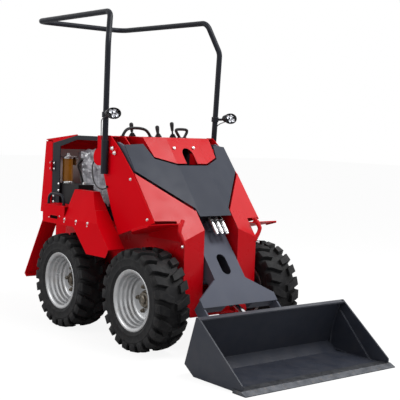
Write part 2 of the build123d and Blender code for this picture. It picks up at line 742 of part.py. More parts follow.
arm_face = Plane(origin=(ARM_TIP_X, 0, ARM_TIP_Z), x_dir=(0, 1, 0), z_dir=arm_out)
face_slab = arm_face * Box(BEYOND, BEYOND, ARM_PLATE, align=(Align.CENTER, Align.CENTER, Align.MAX))
arm_outline = symmetric([(104, ARM_TOP_Z), (ARM_HALF, 530), (ARM_HALF, WAIST_Z), (FORK_Y, FLARE_Z), (FORK_Y, ARM_TIP_Z)])
face = front_plate(arm_outline, -300, 600) & face_slab
slot_x = arm_point(ARM_SLOT_Z, 0)[0]
face -= extrude(Plane(origin=(slot_x, 0, ARM_SLOT_Z), x_dir=arm_run, z_dir=arm_out)
                * SlotOverall(ARM_SLOT_LENGTH, ARM_SLOT_WIDTH), amount=60, both=True)
web_points = [(facet_x(0, 925, PLATE), 925), (facet_x(0, 810, PLATE), 810), arm_point(716, ARM_PLATE),
              arm_point(ARM_TIP_Z + 6, ARM_PLATE), arm_point(ARM_TIP_Z + 6, ARM_DEPTH), (160, 400),
              (CURL_BASE_X + 20, CURL_BASE_Z - 24), (CURL_BASE_X - 22, CURL_BASE_Z - 14),
              (CURL_BASE_X - 20, CURL_BASE_Z + 20), (-95, 695), (BOOM_TUBE_X - 38, BOOM_TUBE_Z), (BOOM_TUBE_X, BOOM_TUBE_Z + 38)]
web = side_plate(web_points, WEB_Y - WEB_THICK, WEB_Y)
web -= rod((BOOM_TUBE_X, 0, BOOM_TUBE_Z), (BOOM_TUBE_X, 500, BOOM_TUBE_Z), BOOM_TUBE_RADIUS)
curl_boss = rod((CURL_BASE_X, EYE_HALF + EAR_GAP, CURL_BASE_Z), (CURL_BASE_X, WEB_Y - WEB_THICK, CURL_BASE_Z), 20)
curl_pin = rod((CURL_BASE_X, -40, CURL_BASE_Z), (CURL_BASE_X, 40, CURL_BASE_Z), PIN_RADIUS)


def fork_plate():
    points = [arm_point(FLARE_Z, ARM_PLATE), arm_point(ARM_TIP_Z, ARM_PLATE), (ARM_TIP_X + 4, ARM_TIP_Z - 8),
              (TILT_X + 30, TILT_Z + 22), (TILT_X + 26, TILT_Z - 22), (TILT_X - 8, TILT_Z - TILT_BOSS),
              (TILT_X - 38, TILT_Z - 14), (ARM_TIP_X - 80, ARM_TIP_Z - 22)]
    plate = side_plate(points, FORK_Y - FORK_THICK, FORK_Y)
    pin = rod((TILT_X, FORK_Y - FORK_THICK - HITCH_GAP - HITCH_EAR, TILT_Z), (TILT_X, FORK_Y - FORK_THICK, TILT_Z), TILT_PIN)
    return plate + pin


gusset = side_plate([arm_point(ARM_TIP_Z + 14, ARM_PLATE), arm_point(ARM_TIP_Z + 6, ARM_PLATE),
                     arm_point(ARM_TIP_Z + 6, ARM_DEPTH), arm_point(ARM_TIP_Z + 14, ARM_DEPTH)], WEB_Y, FORK_Y)
arm = face + both(web + curl_boss + gusset + fork_plate()) + curl_pin

# Couplers under the end of the cover, on their block
coupler_start = Vector(*[arm_point(706, -COUPLER_PROUD)[0], 0, arm_point(706, -COUPLER_PROUD)[1]])
couplers = []
for y in COUPLER_Y:
    a = coupler_start + Vector(0, y, 0)
    couplers.append(rod(a, a + arm_run * COUPLER_LENGTH, COUPLER_RADIUS))
save("quick_couplers", *couplers)
foot = side_plate([arm_point(690, 0), arm_point(650, 0), arm_point(650, -COUPLER_PROUD + COUPLER_RADIUS + 0.3),
                   arm_point(690, -COUPLER_PROUD + COUPLER_RADIUS + 0.3)], COUPLER_Y[0] - 16, COUPLER_Y[-1] + 16)
save("boom_arm", arm + foot)


# Cylinders: barrel and rod on one line, an eye at each outer end
def cylinder_pair(base, eye, barrel_radius, rod_radius, barrel_length, rod_start):
    base, eye = Vector(base[0], 0, base[1]), Vector(eye[0], 0, eye[1])
    run = (eye - base).normalized()
    barrel = rod(base + run * NECK_LENGTH, base + run * barrel_length, barrel_radius)
    barrel += rod(base, base + run * (NECK_LENGTH + 1), NECK_RADIUS)
    barrel += rod((base.X, -EYE_HALF, base.Z), (base.X, EYE_HALF, base.Z), EYE_RADIUS)
    barrel -= rod((base.X, -EYE_HALF, base.Z), (base.X, EYE_HALF, base.Z), PIN_RADIUS + PIN_CLEARANCE)
    barrel -= rod(base + run * BORE_START, base + run * barrel_length, rod_radius + ROD_CLEARANCE)
    shaft = rod(base + run * rod_start, eye, rod_radius)
    shaft += rod((eye.X, -EYE_HALF, eye.Z), (eye.X, EYE_HALF, eye.Z), EYE_RADIUS)
    return barrel, shaft


lift_barrel, lift_rod = cylinder_pair((LIFT_BASE_X, LIFT_BASE_Z), (LIFT_EYE_X, LIFT_EYE_Z),
                                      LIFT_BARREL_RADIUS, LIFT_ROD_RADIUS, LIFT_BARREL, LIFT_ROD_START)
save("lift_barrel", lift_barrel)
save("lift_rod", lift_rod)
curl_barrel, curl_rod = cylinder_pair((CURL_BASE_X, CURL_BASE_Z), (CURL_EYE_X, CURL_EYE_Z),
                                      CURL_BARREL_RADIUS, CURL_ROD_RADIUS, CURL_BARREL, CURL_ROD_START)
save("tilt_barrel", curl_barrel)
save("tilt_rod", curl_rod)

# Bucket hitch
back_run = Vector(BUCKET_TOP_X - BUCKET_BACK_X, 0, BUCKET_TOP_Z - BUCKET_BACK_Z).normalized()
back_out = Vector(-back_run.Z, 0, back_run.X)


def back_point(z, depth):
    """A point of the side view, at a height on the bucket's back and a depth behind it."""
    x = BUCKET_BACK_X + (z - BUCKET_BACK_Z) * back_run.X / back_run.Z
    return (x + back_out.X * depth, z + back_out.Z * depth)


hitch = side_plate([back_point(70, 0), back_point(70, HITCH_PLATE), back_point(285, HITCH_PLATE), back_point(285, 0)],
                   -FORK_Y + 20, FORK_Y - 20)
ear_outer = FORK_Y - FORK_THICK - HITCH_GAP
hitch_ear = side_plate([back_point(80, HITCH_PLATE), back_point(200, HITCH_PLATE), (TILT_X + 10, TILT_Z + TILT_BOSS - 4),
                        (TILT_X - 24, TILT_Z + 22), (TILT_X - 30, TILT_Z - 8), (TILT_X - 6, TILT_Z - 30)],
                       ear_outer - HITCH_EAR, ear_outer)
hitch_ear -= rod((TILT_X, 0, TILT_Z), (TILT_X, 500, TILT_Z), TILT_PIN + PIN_CLEARANCE)
rod_ear_2 = side_plate([back_point(150, HITCH_PLATE), back_point(240, HITCH_PLATE), (CURL_EYE_X + 6, CURL_EYE_Z + 26),
                        (CURL_EYE_X - 22, CURL_EYE_Z + 10), (CURL_EYE_X - 18, CURL_EYE_Z - 18),
                        (CURL_EYE_X + 6, CURL_EYE_Z - 26)], EYE_HALF + EAR_GAP, EYE_HALF + EAR_GAP + EAR_THICK)
save("bucket_hitch", hitch + both(hitch_ear) + both(rod_ear_2))

# Bucket
t = BUCKET_SHEET
shell_points = [
    (BUCKET_TOP_X, BUCKET_TOP_Z), (BUCKET_BACK_X, BUCKET_BACK_Z), (BUCKET_HEEL_X, BUCKET_FLOOR_Z),
    (EDGE_BACK_X, BUCKET_FLOOR_Z), (EDGE_BACK_X, BUCKET_FLOOR_Z + t), (BUCKET_HEEL_X + 3, BUCKET_FLOOR_Z + t),
    (BUCKET_BACK_X + t + 2, BUCKET_BACK_Z + 3), (BUCKET_TOP_X + t - 2, BUCKET_TOP_Z - t),
    (BUCKET_TOP_X + BUCKET_LIP, BUCKET_TOP_Z - t - 6), (BUCKET_TOP_X + BUCKET_LIP + 1, BUCKET_TOP_Z - 6),
]
shell = side_plate(shell_points, -BUCKET_HALF + t, BUCKET_HALF - t)
save("bucket_shell", shell)


def bucket_side():
    points = [(BUCKET_TOP_X, BUCKET_TOP_Z), (BUCKET_BACK_X, BUCKET_BACK_Z), (BUCKET_HEEL_X, BUCKET_FLOOR_Z),
              (EDGE_BACK_X, BUCKET_FLOOR_Z), (EDGE_BACK_X, EDGE_THICK), (SIDE_NOSE_X, EDGE_THICK),
              (SIDE_NOSE_X, SIDE_NOSE_Z), (BUCKET_TOP_X + 14, BUCKET_TOP_Z + 3)]
    plate = side_plate(points, BUCKET_HALF - t, BUCKET_HALF)
    inner = side_plate([(DOUBLER_TOP_X, DOUBLER_TOP_Z), (DOUBLER_FRONT_X, BUCKET_FLOOR_Z + t), (BUCKET_HEEL_X + 3, BUCKET_FLOOR_Z + t),
                        (BUCKET_BACK_X + t + 2, BUCKET_BACK_Z + 3)], BUCKET_HALF - t - DOUBLER, BUCKET_HALF - t)
    return plate + (inner - shell)


for hand, sign in SIDES:
    save(f"bucket_side_{hand}", mirrored(bucket_side(), sign))
edge_points = [(EDGE_BACK_X, 0), (EDGE_BACK_X, EDGE_THICK), (BUCKET_EDGE_X - 34, EDGE_THICK),
               (BUCKET_EDGE_X, 4), (BUCKET_EDGE_X, 0)]
save("cutting_edge", side_plate(edge_points, -EDGE_HALF, EDGE_HALF))

# Engine bay: frames, roof, deck, door and bumper
side_y = BAY_FRAME_Y - PLATE


def bay_frame():
    points = [(HINGE_LINE_X, DECK_Z + DECK_SHEET), (HINGE_LINE_X, BEAM_REAR_Z), (ROOF_BEND_X, BEAM_TOP_Z),
              (CONSOLE_REAR_X, BEAM_TOP_Z), (CONSOLE_REAR_X, BEAM_TOP_Z - BEAM_DEPTH), (ROOF_BEND_X, BEAM_TOP_Z - BEAM_DEPTH),
              (BAY_POST_FRONT_X, 1098), (BAY_POST_FRONT_X, DECK_Z + DECK_SHEET)]
    return side_plate(points, side_y, BAY_FRAME_Y)


tie_low = block((HINGE_LINE_X, -side_y, DECK_Z + DECK_SHEET), (HINGE_LINE_X + 30, side_y, DECK_Z + DECK_SHEET + 30))
frame = both(bay_frame()) + tie_low
for z in HINGE_Z:
    end = HINGE_HALF + HINGE_EAR
    frame += rod((HINGE_LINE_X, -HINGE_Y, z - end), (HINGE_LINE_X, -HINGE_Y, z + end), HINGE_PIN)
    frame += block((HINGE_LINE_X + HINGE_RADIUS + 1, -BAY_FRAME_Y - HINGE_LEAF, z - end),
                   (HINGE_LINE_X + HINGE_REACH, -BAY_FRAME_Y, z + end))
    for low in (z - end, z + HINGE_HALF + 0.5):
        frame += block((HINGE_LINE_X - HINGE_PIN, -HINGE_Y - HINGE_PIN, low),
                       (HINGE_LINE_X + HINGE_RADIUS + 2, -BAY_FRAME_Y, low + HINGE_EAR - 0.5))
save("bay_frame", frame)
roof_line = [(ROOF_REAR_X, ROOF_REAR_Z), (ROOF_BEND_X, ROOF_TOP_Z), (ROOF_BEND_X, BEAM_TOP_Z),
             (ROOF_REAR_X, ROOF_REAR_Z - PLATE)]
roof_rear = side_plate(roof_line, -BAY_FRAME_Y, BAY_FRAME_Y) & block((ROOF_REAR_X, -BAY_FRAME_Y, 0), (ROOF_EDGE_X, BAY_FRAME_Y, BEYOND))
flange_line = [(ROOF_REAR_X, ROOF_REAR_Z - PLATE), (ROOF_REAR_X, ROOF_REAR_Z), (ROOF_BEND_X, ROOF_TOP_Z),
               (ROOF_BEND_X, BEAM_TOP_Z), (HINGE_LINE_X, BEAM_REAR_Z), (HINGE_LINE_X, ROOF_REAR_Z - PLATE)]
roof = roof_rear + both(side_plate(flange_line, BAY_FRAME_Y - PLATE, BAY_FRAME_Y))
save("top_cover", roof + console)

door_x_top = DOOR_LOW_X + (DOOR_TOP_Z - DOOR_LOW_Z) * DOOR_LEAN
door_front_x = HINGE_LINE_X - DOOR_GAP
door_shape = [(door_front_x, DOOR_LOW_Z), (DOOR_LOW_X, DOOR_LOW_Z), (door_x_top, DOOR_TOP_Z), (door_front_x, DOOR_TOP_Z)]
door = side_plate(door_shape, -BAY_FRAME_Y, BAY_FRAME_Y)
door_hollow = [(HINGE_LINE_X, DOOR_LOW_Z - 1), (DOOR_LOW_X + DOOR_SHEET, DOOR_LOW_Z - 1),
               (door_x_top + DOOR_SHEET, DOOR_TOP_Z + 1), (HINGE_LINE_X, DOOR_TOP_Z + 1)]
door -= side_plate(door_hollow, -BAY_FRAME_Y + DOOR_SHEET, BAY_FRAME_Y - DOOR_SHEET)
for z in HINGE_Z:
    knuckle = rod((HINGE_LINE_X, -HINGE_Y, z - HINGE_HALF), (HINGE_LINE_X, -HINGE_Y, z + HINGE_HALF), HINGE_RADIUS)
    leaf = block((HINGE_LINE_X - HINGE_REACH, -BAY_FRAME_Y - HINGE_LEAF, z - HINGE_HALF),
                 (HINGE_LINE_X, -BAY_FRAME_Y, z + HINGE_HALF))
    leaf -= block((HINGE_LINE_X - DOOR_GAP - 1, -BAY_FRAME_Y - 1, 0), (0, 0, BEYOND))
    pin = rod((HINGE_LINE_X, -HINGE_Y, z - HINGE_HALF), (HINGE_LINE_X, -HINGE_Y, z + HINGE_HALF),
              HINGE_PIN + HINGE_CLEARANCE)
    door += knuckle + leaf - pin
save("rear_door", door)
bumper = side_plate([(TUB_REAR_X, BUMPER_LOW_Z), (BUMPER_LOW_X, BUMPER_LOW_Z), (DOOR_LOW_X - 4, BUMPER_TOP_Z),
                     (TUB_REAR_X, BUMPER_TOP_Z)], -TUB_HALF, TUB_HALF)
tow = flat_plate([(TUB_REAR_X, -60), (TOW_X, -TOW_HALF), (TOW_X - 28, -18), (TOW_X - 28, 18), (TOW_X, TOW_HALF),
                  (TUB_REAR_X, 60)], TOW_Z - TOW_PLATE, TOW_Z)
tow -= rod((TOW_X + 5, 0, 0), (TOW_X + 5, 0, 800), TOW_RADIUS)
save("rear_bumper", bumper + tow)


# Rear fenders
def front_line(z, back=0):
    """The rear fender's sloping front edge: x at a height, shifted back."""
    return FENDER_NOSE_X - back + (FENDER_NOSE_Z - z) * (FENDER_NOSE_X - FENDER_CREST_X) / (FENDER_TOP_Z - FENDER_NOSE_Z)


def leaning_cut(inset):
    """What is outside the fender's leaning side, which starts at the row of bolts."""
    low, rear = FENDER_FOLD_Z - inset / 4, BOX_REAR_X + inset
    return front_plate([(FENDER_Y - inset, low), (BOX_TOP_Y - inset, BOX_TOP_Z), (FENDER_Y + 20, BOX_TOP_Z),
                        (FENDER_Y + 20, low)], rear, 0)


def fender():
    """An upright band behind, then a side that leans in, up to a box over the arch."""
    t = FENDER_SHEET
    inner_y = PANEL_Y - WALL_DEPTH
    ledge_x = FENDER_CREST_X - FENDER_LEDGE
    arch = [(FENDER_REAR_X, FENDER_ARCH_Z), *FENDER_ARCH, (FENDER_NOSE_X, FENDER_NOSE_Z), (FENDER_CREST_X, FENDER_TOP_Z),
            (ledge_x, FENDER_TOP_Z), (BOX_FRONT_X - FENDER_LEDGE, BOX_TOP_Z), (BOX_REAR_X, BOX_TOP_Z),
            (BOX_REAR_X, FENDER_TOP_Z), (FENDER_REAR_X, FENDER_TOP_Z)]
    under = FENDER_TOP_Z - t
    hollow = [(FENDER_REAR_X + t, FENDER_DROP_Z), (front_line(FENDER_DROP_Z, 8), FENDER_DROP_Z), (front_line(under, 8), under),
              (ledge_x - 8, under), (BOX_FRONT_X - FENDER_LEDGE - 8, BOX_TOP_Z - t), (BOX_REAR_X + t, BOX_TOP_Z - t),
              (BOX_REAR_X + t, under), (FENDER_REAR_X + t, under)]
    body = side_plate(arch, PANEL_Y, FENDER_Y) - leaning_cut(0)
    body -= side_plate(hollow, PANEL_Y, FENDER_Y - t) - leaning_cut(t)
    wall_rear, wall_front = FENDER_REAR_X, PANEL_REAR_X - 4
    body += block((wall_rear, inner_y, DECK_Z + DECK_SHEET), (wall_front, PANEL_Y, FENDER_TOP_Z))
    body += side_plate([(BOX_REAR_X, FENDER_TOP_Z), (ledge_x, FENDER_TOP_Z), (BOX_FRONT_X - FENDER_LEDGE, BOX_TOP_Z),
                        (BOX_REAR_X, BOX_TOP_Z)], inner_y, PANEL_Y)
    tail = [(FENDER_REAR_X, FENDER_ARCH_Z + 12), (TAIL_TIP_X, TAIL_TIP_Z), (TAIL_LIP_X, TAIL_LIP_Z),
            (TAIL_LIP_X + 3, TAIL_LIP_Z + 4), (TAIL_TIP_X + 7, TAIL_TIP_Z + 2), (FENDER_REAR_X + 3, FENDER_ARCH_Z + 7),
            (FENDER_REAR_X + 3, FENDER_ARCH_Z + 16), (FENDER_REAR_X, FENDER_ARCH_Z + 16)]
    return body + side_plate(tail, PANEL_Y + 4, FENDER_Y)


for hand, sign in SIDES:
    save(f"rear_fender_{hand}", mirrored(fender(), sign))


# Front fenders: sloping shelves with a turned-down lip
def shelf(front_x):
    plane = Plane(origin=(0, 0, SHELF_Z), x_dir=Vector(cos(radians(SHELF_RISE)), 0, sin(radians(SHELF_RISE))),
                  z_dir=Vector(-sin(radians(SHELF_RISE)), 0, cos(radians(SHELF_RISE))))
    slab = plane * Box(BEYOND, BEYOND, FENDER_SHEET, align=(Align.CENTER, Align.CENTER, Align.MAX))
    loop_x, loop_y = LOOP_TOP[0] - LOOP_RADIUS - 6, LOOP_OUT[1] + LOOP_RADIUS + 6
    notch = [(loop_x, TUB_HALF), (loop_x, loop_y), (front_x, loop_y)] if front_x > loop_x else [(front_x, TUB_HALF)]
    outline = [*notch, (front_x, FENDER_Y), (SHELF_REAR_X, FENDER_Y),
               (SHELF_ROOT_X, PANEL_Y), (SHELF_ROOT_X, TUB_HALF)]
    sheet = flat_plate(outline, 500, 900) & slab
    lip = side_plate([(SHELF_REAR_X, 600), (front_x, 600), (front_x, 800), (SHELF_REAR_X, 800)],
                     FENDER_Y - FENDER_SHEET, FENDER_Y)
    lip &= plane * Box(BEYOND, BEYOND, SHELF_LIP, align=(Align.CENTER, Align.CENTER, Align.MAX))
    flange_x = min(loop_x, front_x)
    flange = side_plate([(SHELF_ROOT_X, SHELF_FLANGE_Z), (flange_x, SHELF_FLANGE_Z), (flange_x, 800), (SHELF_ROOT_X, 800)],
                        TUB_HALF, TUB_HALF + FENDER_SHEET)
    flange &= plane * Box(BEYOND, BEYOND, 500, align=(Align.CENTER, Align.CENTER, Align.MAX))
    return sheet + lip + flange


for hand, sign, front_x in SHELF_TABLE:
    save(f"front_fender_{hand}", mirrored(shelf(front_x), sign))

# Roll hoop and its sockets
post_low, kink = (POST_X, POST_Y, SOCKET_TOP_Z - 60), (KINK_X, KINK_Y, KINK_Z)
corner, rear = (CORNER_X, CORNER_Y, CORNER_Z), (HOOP_REAR_X, HOOP_REAR_Y, HOOP_REAR_Z)
left_run = [post_low, kink, corner, rear]
hoop_path = left_run + [(x, -y, z) for x, y, z in reversed(left_run)]
hoop = pipe(hoop_path, PIPE_RADIUS, [90, 60, 70, 70, 60, 90])
socket = rod((POST_X, POST_Y, SOCKET_LOW_Z), (POST_X, POST_Y, SOCKET_TOP_Z), SOCKET_RADIUS)
hoop += both(socket)
save("roll_hoop", hoop)


# Lamps on short arms
def lamp():
    front = Plane(origin=(LAMP_X + LAMP_DEPTH / 2, LAMP_Y, LAMP_Z), x_dir=(0, 1, 0), z_dir=(1, 0, 0))
    back = Plane(origin=(LAMP_X - LAMP_DEPTH / 2, LAMP_Y, LAMP_Z), x_dir=(0, 1, 0), z_dir=(1, 0, 0))
    body = loft([back * Ellipse(LAMP_HALF_WIDTH - LAMP_TAPER, LAMP_HALF_HEIGHT - LAMP_TAPER),
                 front * Ellipse(LAMP_HALF_WIDTH, LAMP_HALF_HEIGHT)])
    bezel = Ellipse(LAMP_HALF_WIDTH + LAMP_BEZEL, LAMP_HALF_HEIGHT + LAMP_BEZEL)
    body += extrude(front * bezel, amount=-LAMP_BEZEL_DEPTH)
    arm = rod((LAMP_X - LAMP_DEPTH / 2 + 6, LAMP_Y, LAMP_Z), (POST_X + 8, POST_Y + 5, LAMP_Z - 8), LAMP_ARM_RADIUS)
    return body + arm


for hand, sign in SIDES:
    save(f"lamp_{hand}", mirrored(lamp(), sign) - hoop)

# Engine and the things round it
save("engine_block", block((ENGINE_REAR_X, -ENGINE_HALF, TUB_FLOOR_Z + TUB_SHEET),
                           (ENGINE_FRONT_X, ENGINE_HALF, ENGINE_TOP_Z)))
# Seat: a cushion on a box, and a low backrest that leans back from it
cushion = side_plate([(SEAT_REAR_X, SEAT_LOW_Z), (SEAT_REAR_X, SEAT_REAR_Z), (SEAT_FRONT_X, SEAT_FRONT_Z),
                      (SEAT_FRONT_X, SEAT_LOW_Z)], -SEAT_HALF, SEAT_HALF)
lean = Vector(BACKREST_TOP_X - SEAT_REAR_X, 0, BACKREST_TOP_Z - SEAT_REAR_Z).normalized()
backrest = side_plate([(SEAT_REAR_X + 10, SEAT_LOW_Z), (SEAT_REAR_X + 10, SEAT_REAR_Z), (BACKREST_TOP_X, BACKREST_TOP_Z),
                       (BACKREST_TOP_X - lean.Z * BACKREST_THICK, BACKREST_TOP_Z + lean.X * BACKREST_THICK),
                       (SEAT_REAR_X - 50, SEAT_LOW_Z)], -SEAT_HALF, SEAT_HALF)
backrest = fillet(backrest.faces().sort_by(Axis.Z)[-1].edges(), SEAT_ROUND)
seat = fillet(cushion.faces().sort_by(Axis.X)[-1].edges(), SEAT_ROUND) + backrest
seat_box = block((SEAT_BOX_X[0], -SEAT_BOX_HALF, DECK_Z + DECK_SHEET), (SEAT_BOX_X[1], SEAT_BOX_HALF, SEAT_LOW_Z))
save("operator_seat", seat + seat_box)
save("filter_canister", rod((CANISTER_X, CANISTER_Y, BATTERY_TOP_Z), (CANISTER_X, CANISTER_Y, CANISTER_TOP_Z),
                            CANISTER_RADIUS))
save("battery", block((BATTERY_REAR_X, BATTERY_Y[0], DECK_Z + DECK_SHEET), (BATTERY_FRONT_X, BATTERY_Y[1], BATTERY_TOP_Z)))


# Rails on the rear fenders
rail_points = [(RAIL_FRONT_X, RAIL_Y, FENDER_TOP_Z), (RAIL_FRONT_X, RAIL_Y, RAIL_TOP_Z), (RAIL_REAR_X, RAIL_Y, RAIL_TOP_Z),
               (RAIL_REAR_X, RAIL_Y, 700)]
rail = pipe([(x if x != RAIL_REAR_X else FENDER_REAR_X + 20, y, z if z != 700 else FENDER_TOP_Z) for x, y, z in rail_points],
            RAIL_RADIUS, RAIL_BEND)
save("fender_rails", rail, mirror(rail, about=Plane.XZ))

# One file for each piece, moved so that the origin is at the middle of the length
os.makedirs("parts", exist_ok=True)
for name, solids in parts.items():
    placed = [Pos(-ORIGIN_X, 0, 0) * solid for shape in solids for solid in shape.solids()]
    export_step(placed[0] if len(placed) == 1 else Compound(children=placed), f"parts/{name}.step")
print(len(parts), "pieces; origin", ORIGIN_X, "mm from the front axle")
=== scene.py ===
# %% [markdown]
# # A compact skid steer loader
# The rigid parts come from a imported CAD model, which stands fixed in the frame. This lesson
# gives each of those parts its real finish and builds the pieces that need a mesh tool, from
# lugged tyres to bolts and hoses.
# Lengths are metres; +X is forward, +Y is the machine's left and +Z is up.

# %% Load the frame
import bpy
import bmesh
import json
from math import cos, pi, radians, sin
from mathutils import Matrix, Vector, noise


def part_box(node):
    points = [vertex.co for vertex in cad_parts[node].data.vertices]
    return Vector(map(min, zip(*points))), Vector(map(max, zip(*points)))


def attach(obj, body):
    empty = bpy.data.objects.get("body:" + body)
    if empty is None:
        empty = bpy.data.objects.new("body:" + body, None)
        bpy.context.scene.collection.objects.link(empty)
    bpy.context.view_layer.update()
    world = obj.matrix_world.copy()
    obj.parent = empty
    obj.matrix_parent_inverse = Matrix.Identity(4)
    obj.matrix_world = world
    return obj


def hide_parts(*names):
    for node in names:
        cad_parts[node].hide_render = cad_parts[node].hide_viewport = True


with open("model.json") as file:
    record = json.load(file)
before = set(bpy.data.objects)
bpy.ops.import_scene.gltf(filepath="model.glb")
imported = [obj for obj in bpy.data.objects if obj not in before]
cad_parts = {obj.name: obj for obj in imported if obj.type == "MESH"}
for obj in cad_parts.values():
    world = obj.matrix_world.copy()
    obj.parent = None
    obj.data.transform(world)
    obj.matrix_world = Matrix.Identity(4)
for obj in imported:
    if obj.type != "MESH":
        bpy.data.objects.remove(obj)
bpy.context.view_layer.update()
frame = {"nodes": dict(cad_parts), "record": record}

# %% [markdown]
# ## Places
# Every size that was measured on the machine is counted from the middle of the front axle, in
# millimetres. One small function turns such a place into metres in the frame, so the numbers
# below read like a drawing. Most pieces come in pairs, so a line of places can be mirrored.
# Two more helpers put an object in the scene and give a matrix from its axes.

# %% Places, frames and objects
front_low, front_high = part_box("rim_front_right")
FRONT_AXLE_X = (front_low[0] + front_high[0]) / 2
MM = 0.001
HANDS = (("right", -1), ("left", 1))  # a side's name and the sign of its Y


def at(x, y, z):
    """A place on the machine, given in millimetres from the front axle and the ground."""
    return Vector((FRONT_AXLE_X + x * MM, y * MM, z * MM))


def places(line, sign=1):
    """A line of places, on the right-hand side where the sign is -1."""
    return [at(x, sign * y, z) for x, y, z in line]


def framed(place, *axes):
    """A matrix at a place with these X, Y and Z axes."""
    return Matrix.Translation(place) @ Matrix(axes).transposed().to_4x4()


def put_in(name, data):
    """Puts an object with this data in the scene."""
    thing = bpy.data.objects.new(name, data)
    bpy.context.collection.objects.link(thing)
    return thing


def middle(node):
    low, high = (Vector(corner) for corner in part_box(node))
    return (low + high) / 2


print("front axle at x =", round(FRONT_AXLE_X, 4))

# %% [markdown]
# ## Camera
# The picture was taken from the front right corner, a little above the bonnet. The lens is a
# moderate telephoto, so parallel edges hardly converge. The camera's turns are angles, which
# are easy to correct.

# %% Camera
CAMERA_PLACE = at(4132.56, -3395.83, 1221.53)
CAMERA_HEADING = radians(141.036)
CAMERA_TILT = -0.0692
CAMERA_ROLL = 0.0348
CAMERA_LENS = 84.0
CAMERA_SHIFT = (0.0042, -0.01)
MACHINE_MIDDLE = Vector((0, 0, 0.8))

level = cos(CAMERA_TILT)
ahead = Vector((cos(CAMERA_HEADING) * level, sin(CAMERA_HEADING) * level, sin(CAMERA_TILT)))
level_right = Vector((sin(CAMERA_HEADING), -cos(CAMERA_HEADING), 0))
level_up = level_right.cross(ahead)
right = level_right * cos(CAMERA_ROLL) + level_up * sin(CAMERA_ROLL)
up = level_up * cos(CAMERA_ROLL) - level_right * sin(CAMERA_ROLL)
camera = put_in("camera", bpy.data.cameras.new("camera"))
camera.matrix_world = framed(CAMERA_PLACE, right, up, -ahead)
camera.data.lens = CAMERA_LENS
camera.data.shift_x, camera.data.shift_y = CAMERA_SHIFT
bpy.context.scene.camera = camera
bpy.context.scene.view_settings.view_transform = "Standard"
print("camera is", round((CAMERA_PLACE - MACHINE_MIDDLE).length, 2), "m from the machine")

# %% [markdown]
# ## Floor and background
# The machine stands on a plain white sweep. More light would wash out the paint, so the white
# isn't lit: the floor is a pale surface that glows for the camera alone, and keeps its soft
# shadow. The room is white to the camera, to glossy metal and through glass, and dimmer as a
# source of light.

# %% Floor and background
FLOOR_SIZE = 60.0
FLOOR_GREY = (0.62, 0.62, 0.62, 1)
FLOOR_GLOW = 0.75  # share of the glow in what the camera sees
GLOW_STRENGTH = 1.2
ROOM_LIGHT = 0.46
ROOM_WHITE = 1.0


def set_sockets(node, numbers):
    """Sets sockets to numbers; the spaces in their names are underscores here."""
    for socket, number in numbers.items():
        node.inputs[socket.replace("_", " ")].default_value = number


def added(tree, kind, **numbers):
    node = tree.nodes.new("ShaderNode" + kind)
    set_sockets(node, numbers)
    return node


def math_step(tree, operation, first, second):
    """A Math node; the second value is a number or an outlet."""
    step = added(tree, "Math")
    step.operation = operation
    tree.links.new(first, step.inputs[0])
    if isinstance(second, float):
        step.inputs[1].default_value = second
    else:
        tree.links.new(second, step.inputs[1])
    return step.outputs[0]


half = FLOOR_SIZE / 2
floor_mesh = bpy.data.meshes.new("floor")
corners = [(-half, -half, 0), (half, -half, 0), (half, half, 0), (-half, half, 0)]
floor_mesh.from_pydata(corners, [], [(0, 1, 2, 3)])
floor = put_in("floor", floor_mesh)
floor_paint = bpy.data.materials.new("floor_white")
floor_paint.use_nodes = True
tree = floor_paint.node_tree
tree.nodes.clear()
white = added(tree, "BsdfDiffuse", Color=FLOOR_GREY)
glow = added(tree, "Emission", Strength=GLOW_STRENGTH)
rays = added(tree, "LightPath").outputs
mix = added(tree, "MixShader")
out = added(tree, "OutputMaterial")
tree.links.new(math_step(tree, "MULTIPLY", rays["Is Camera Ray"], FLOOR_GLOW), mix.inputs[0])
tree.links.new(white.outputs[0], mix.inputs[1])
tree.links.new(glow.outputs[0], mix.inputs[2])
tree.links.new(mix.outputs[0], out.inputs["Surface"])
floor_mesh.materials.append(floor_paint)

world = bpy.data.worlds.new("studio")
bpy.context.scene.world = world
world.use_nodes = True
tree = world.node_tree
tree.nodes.clear()
rays = added(tree, "LightPath").outputs
seen = math_step(tree, "MAXIMUM", rays["Is Camera Ray"], rays["Is Glossy Ray"])
seen = math_step(tree, "MAXIMUM", seen, rays["Is Transmission Ray"])
strength = added(tree, "MapRange", To_Min=ROOM_LIGHT, To_Max=ROOM_WHITE)
sky = added(tree, "Background", Color=(1, 1, 1, 1))
out = added(tree, "OutputWorld")
tree.links.new(seen, strength.inputs["Value"])
tree.links.new(strength.outputs[0], sky.inputs["Strength"])
tree.links.new(sky.outputs[0], out.inputs["Surface"])
print("floor is", FLOOR_SIZE, "m across")

# %% [markdown]
# ## Studio lamps
# The folded front has facets that face different ways, and each mirrors its own lamp. A large
# soft lamp hangs above and in front, a weaker one above the left, and a third stands low on
# the right-hand side. Area lamps give the soft edges of a studio's softboxes.

# %% Lamps of the studio
STUDIO_LAMPS = (  # name, place, aim, width, height, power
    ("softbox_above", (2.2, 0.75, 4.5), (0.1, 0, 0.8), 2.2, 1.8, 130),
    ("softbox_left", (1.75, 3.15, 4.3), (0.1, 0, 0.8), 1.8, 1.4, 34),
    ("softbox_side", (-2.0, -4.6, 2.4), (-0.2, 0, 0.7), 2.4, 2.4, 60),
)
for name, place, aim, width, height, power in STUDIO_LAMPS:
    light = bpy.data.lights.new(name, "AREA")
    light.shape, light.size, light.size_y, light.energy = "RECTANGLE", width, height, power
    softbox = put_in(name, light)
    softbox.location = place
    softbox.rotation_euler = (Vector(aim) - Vector(place)).to_track_quat("-Z", "Y").to_euler()
print("studio lamps:", len(STUDIO_LAMPS))

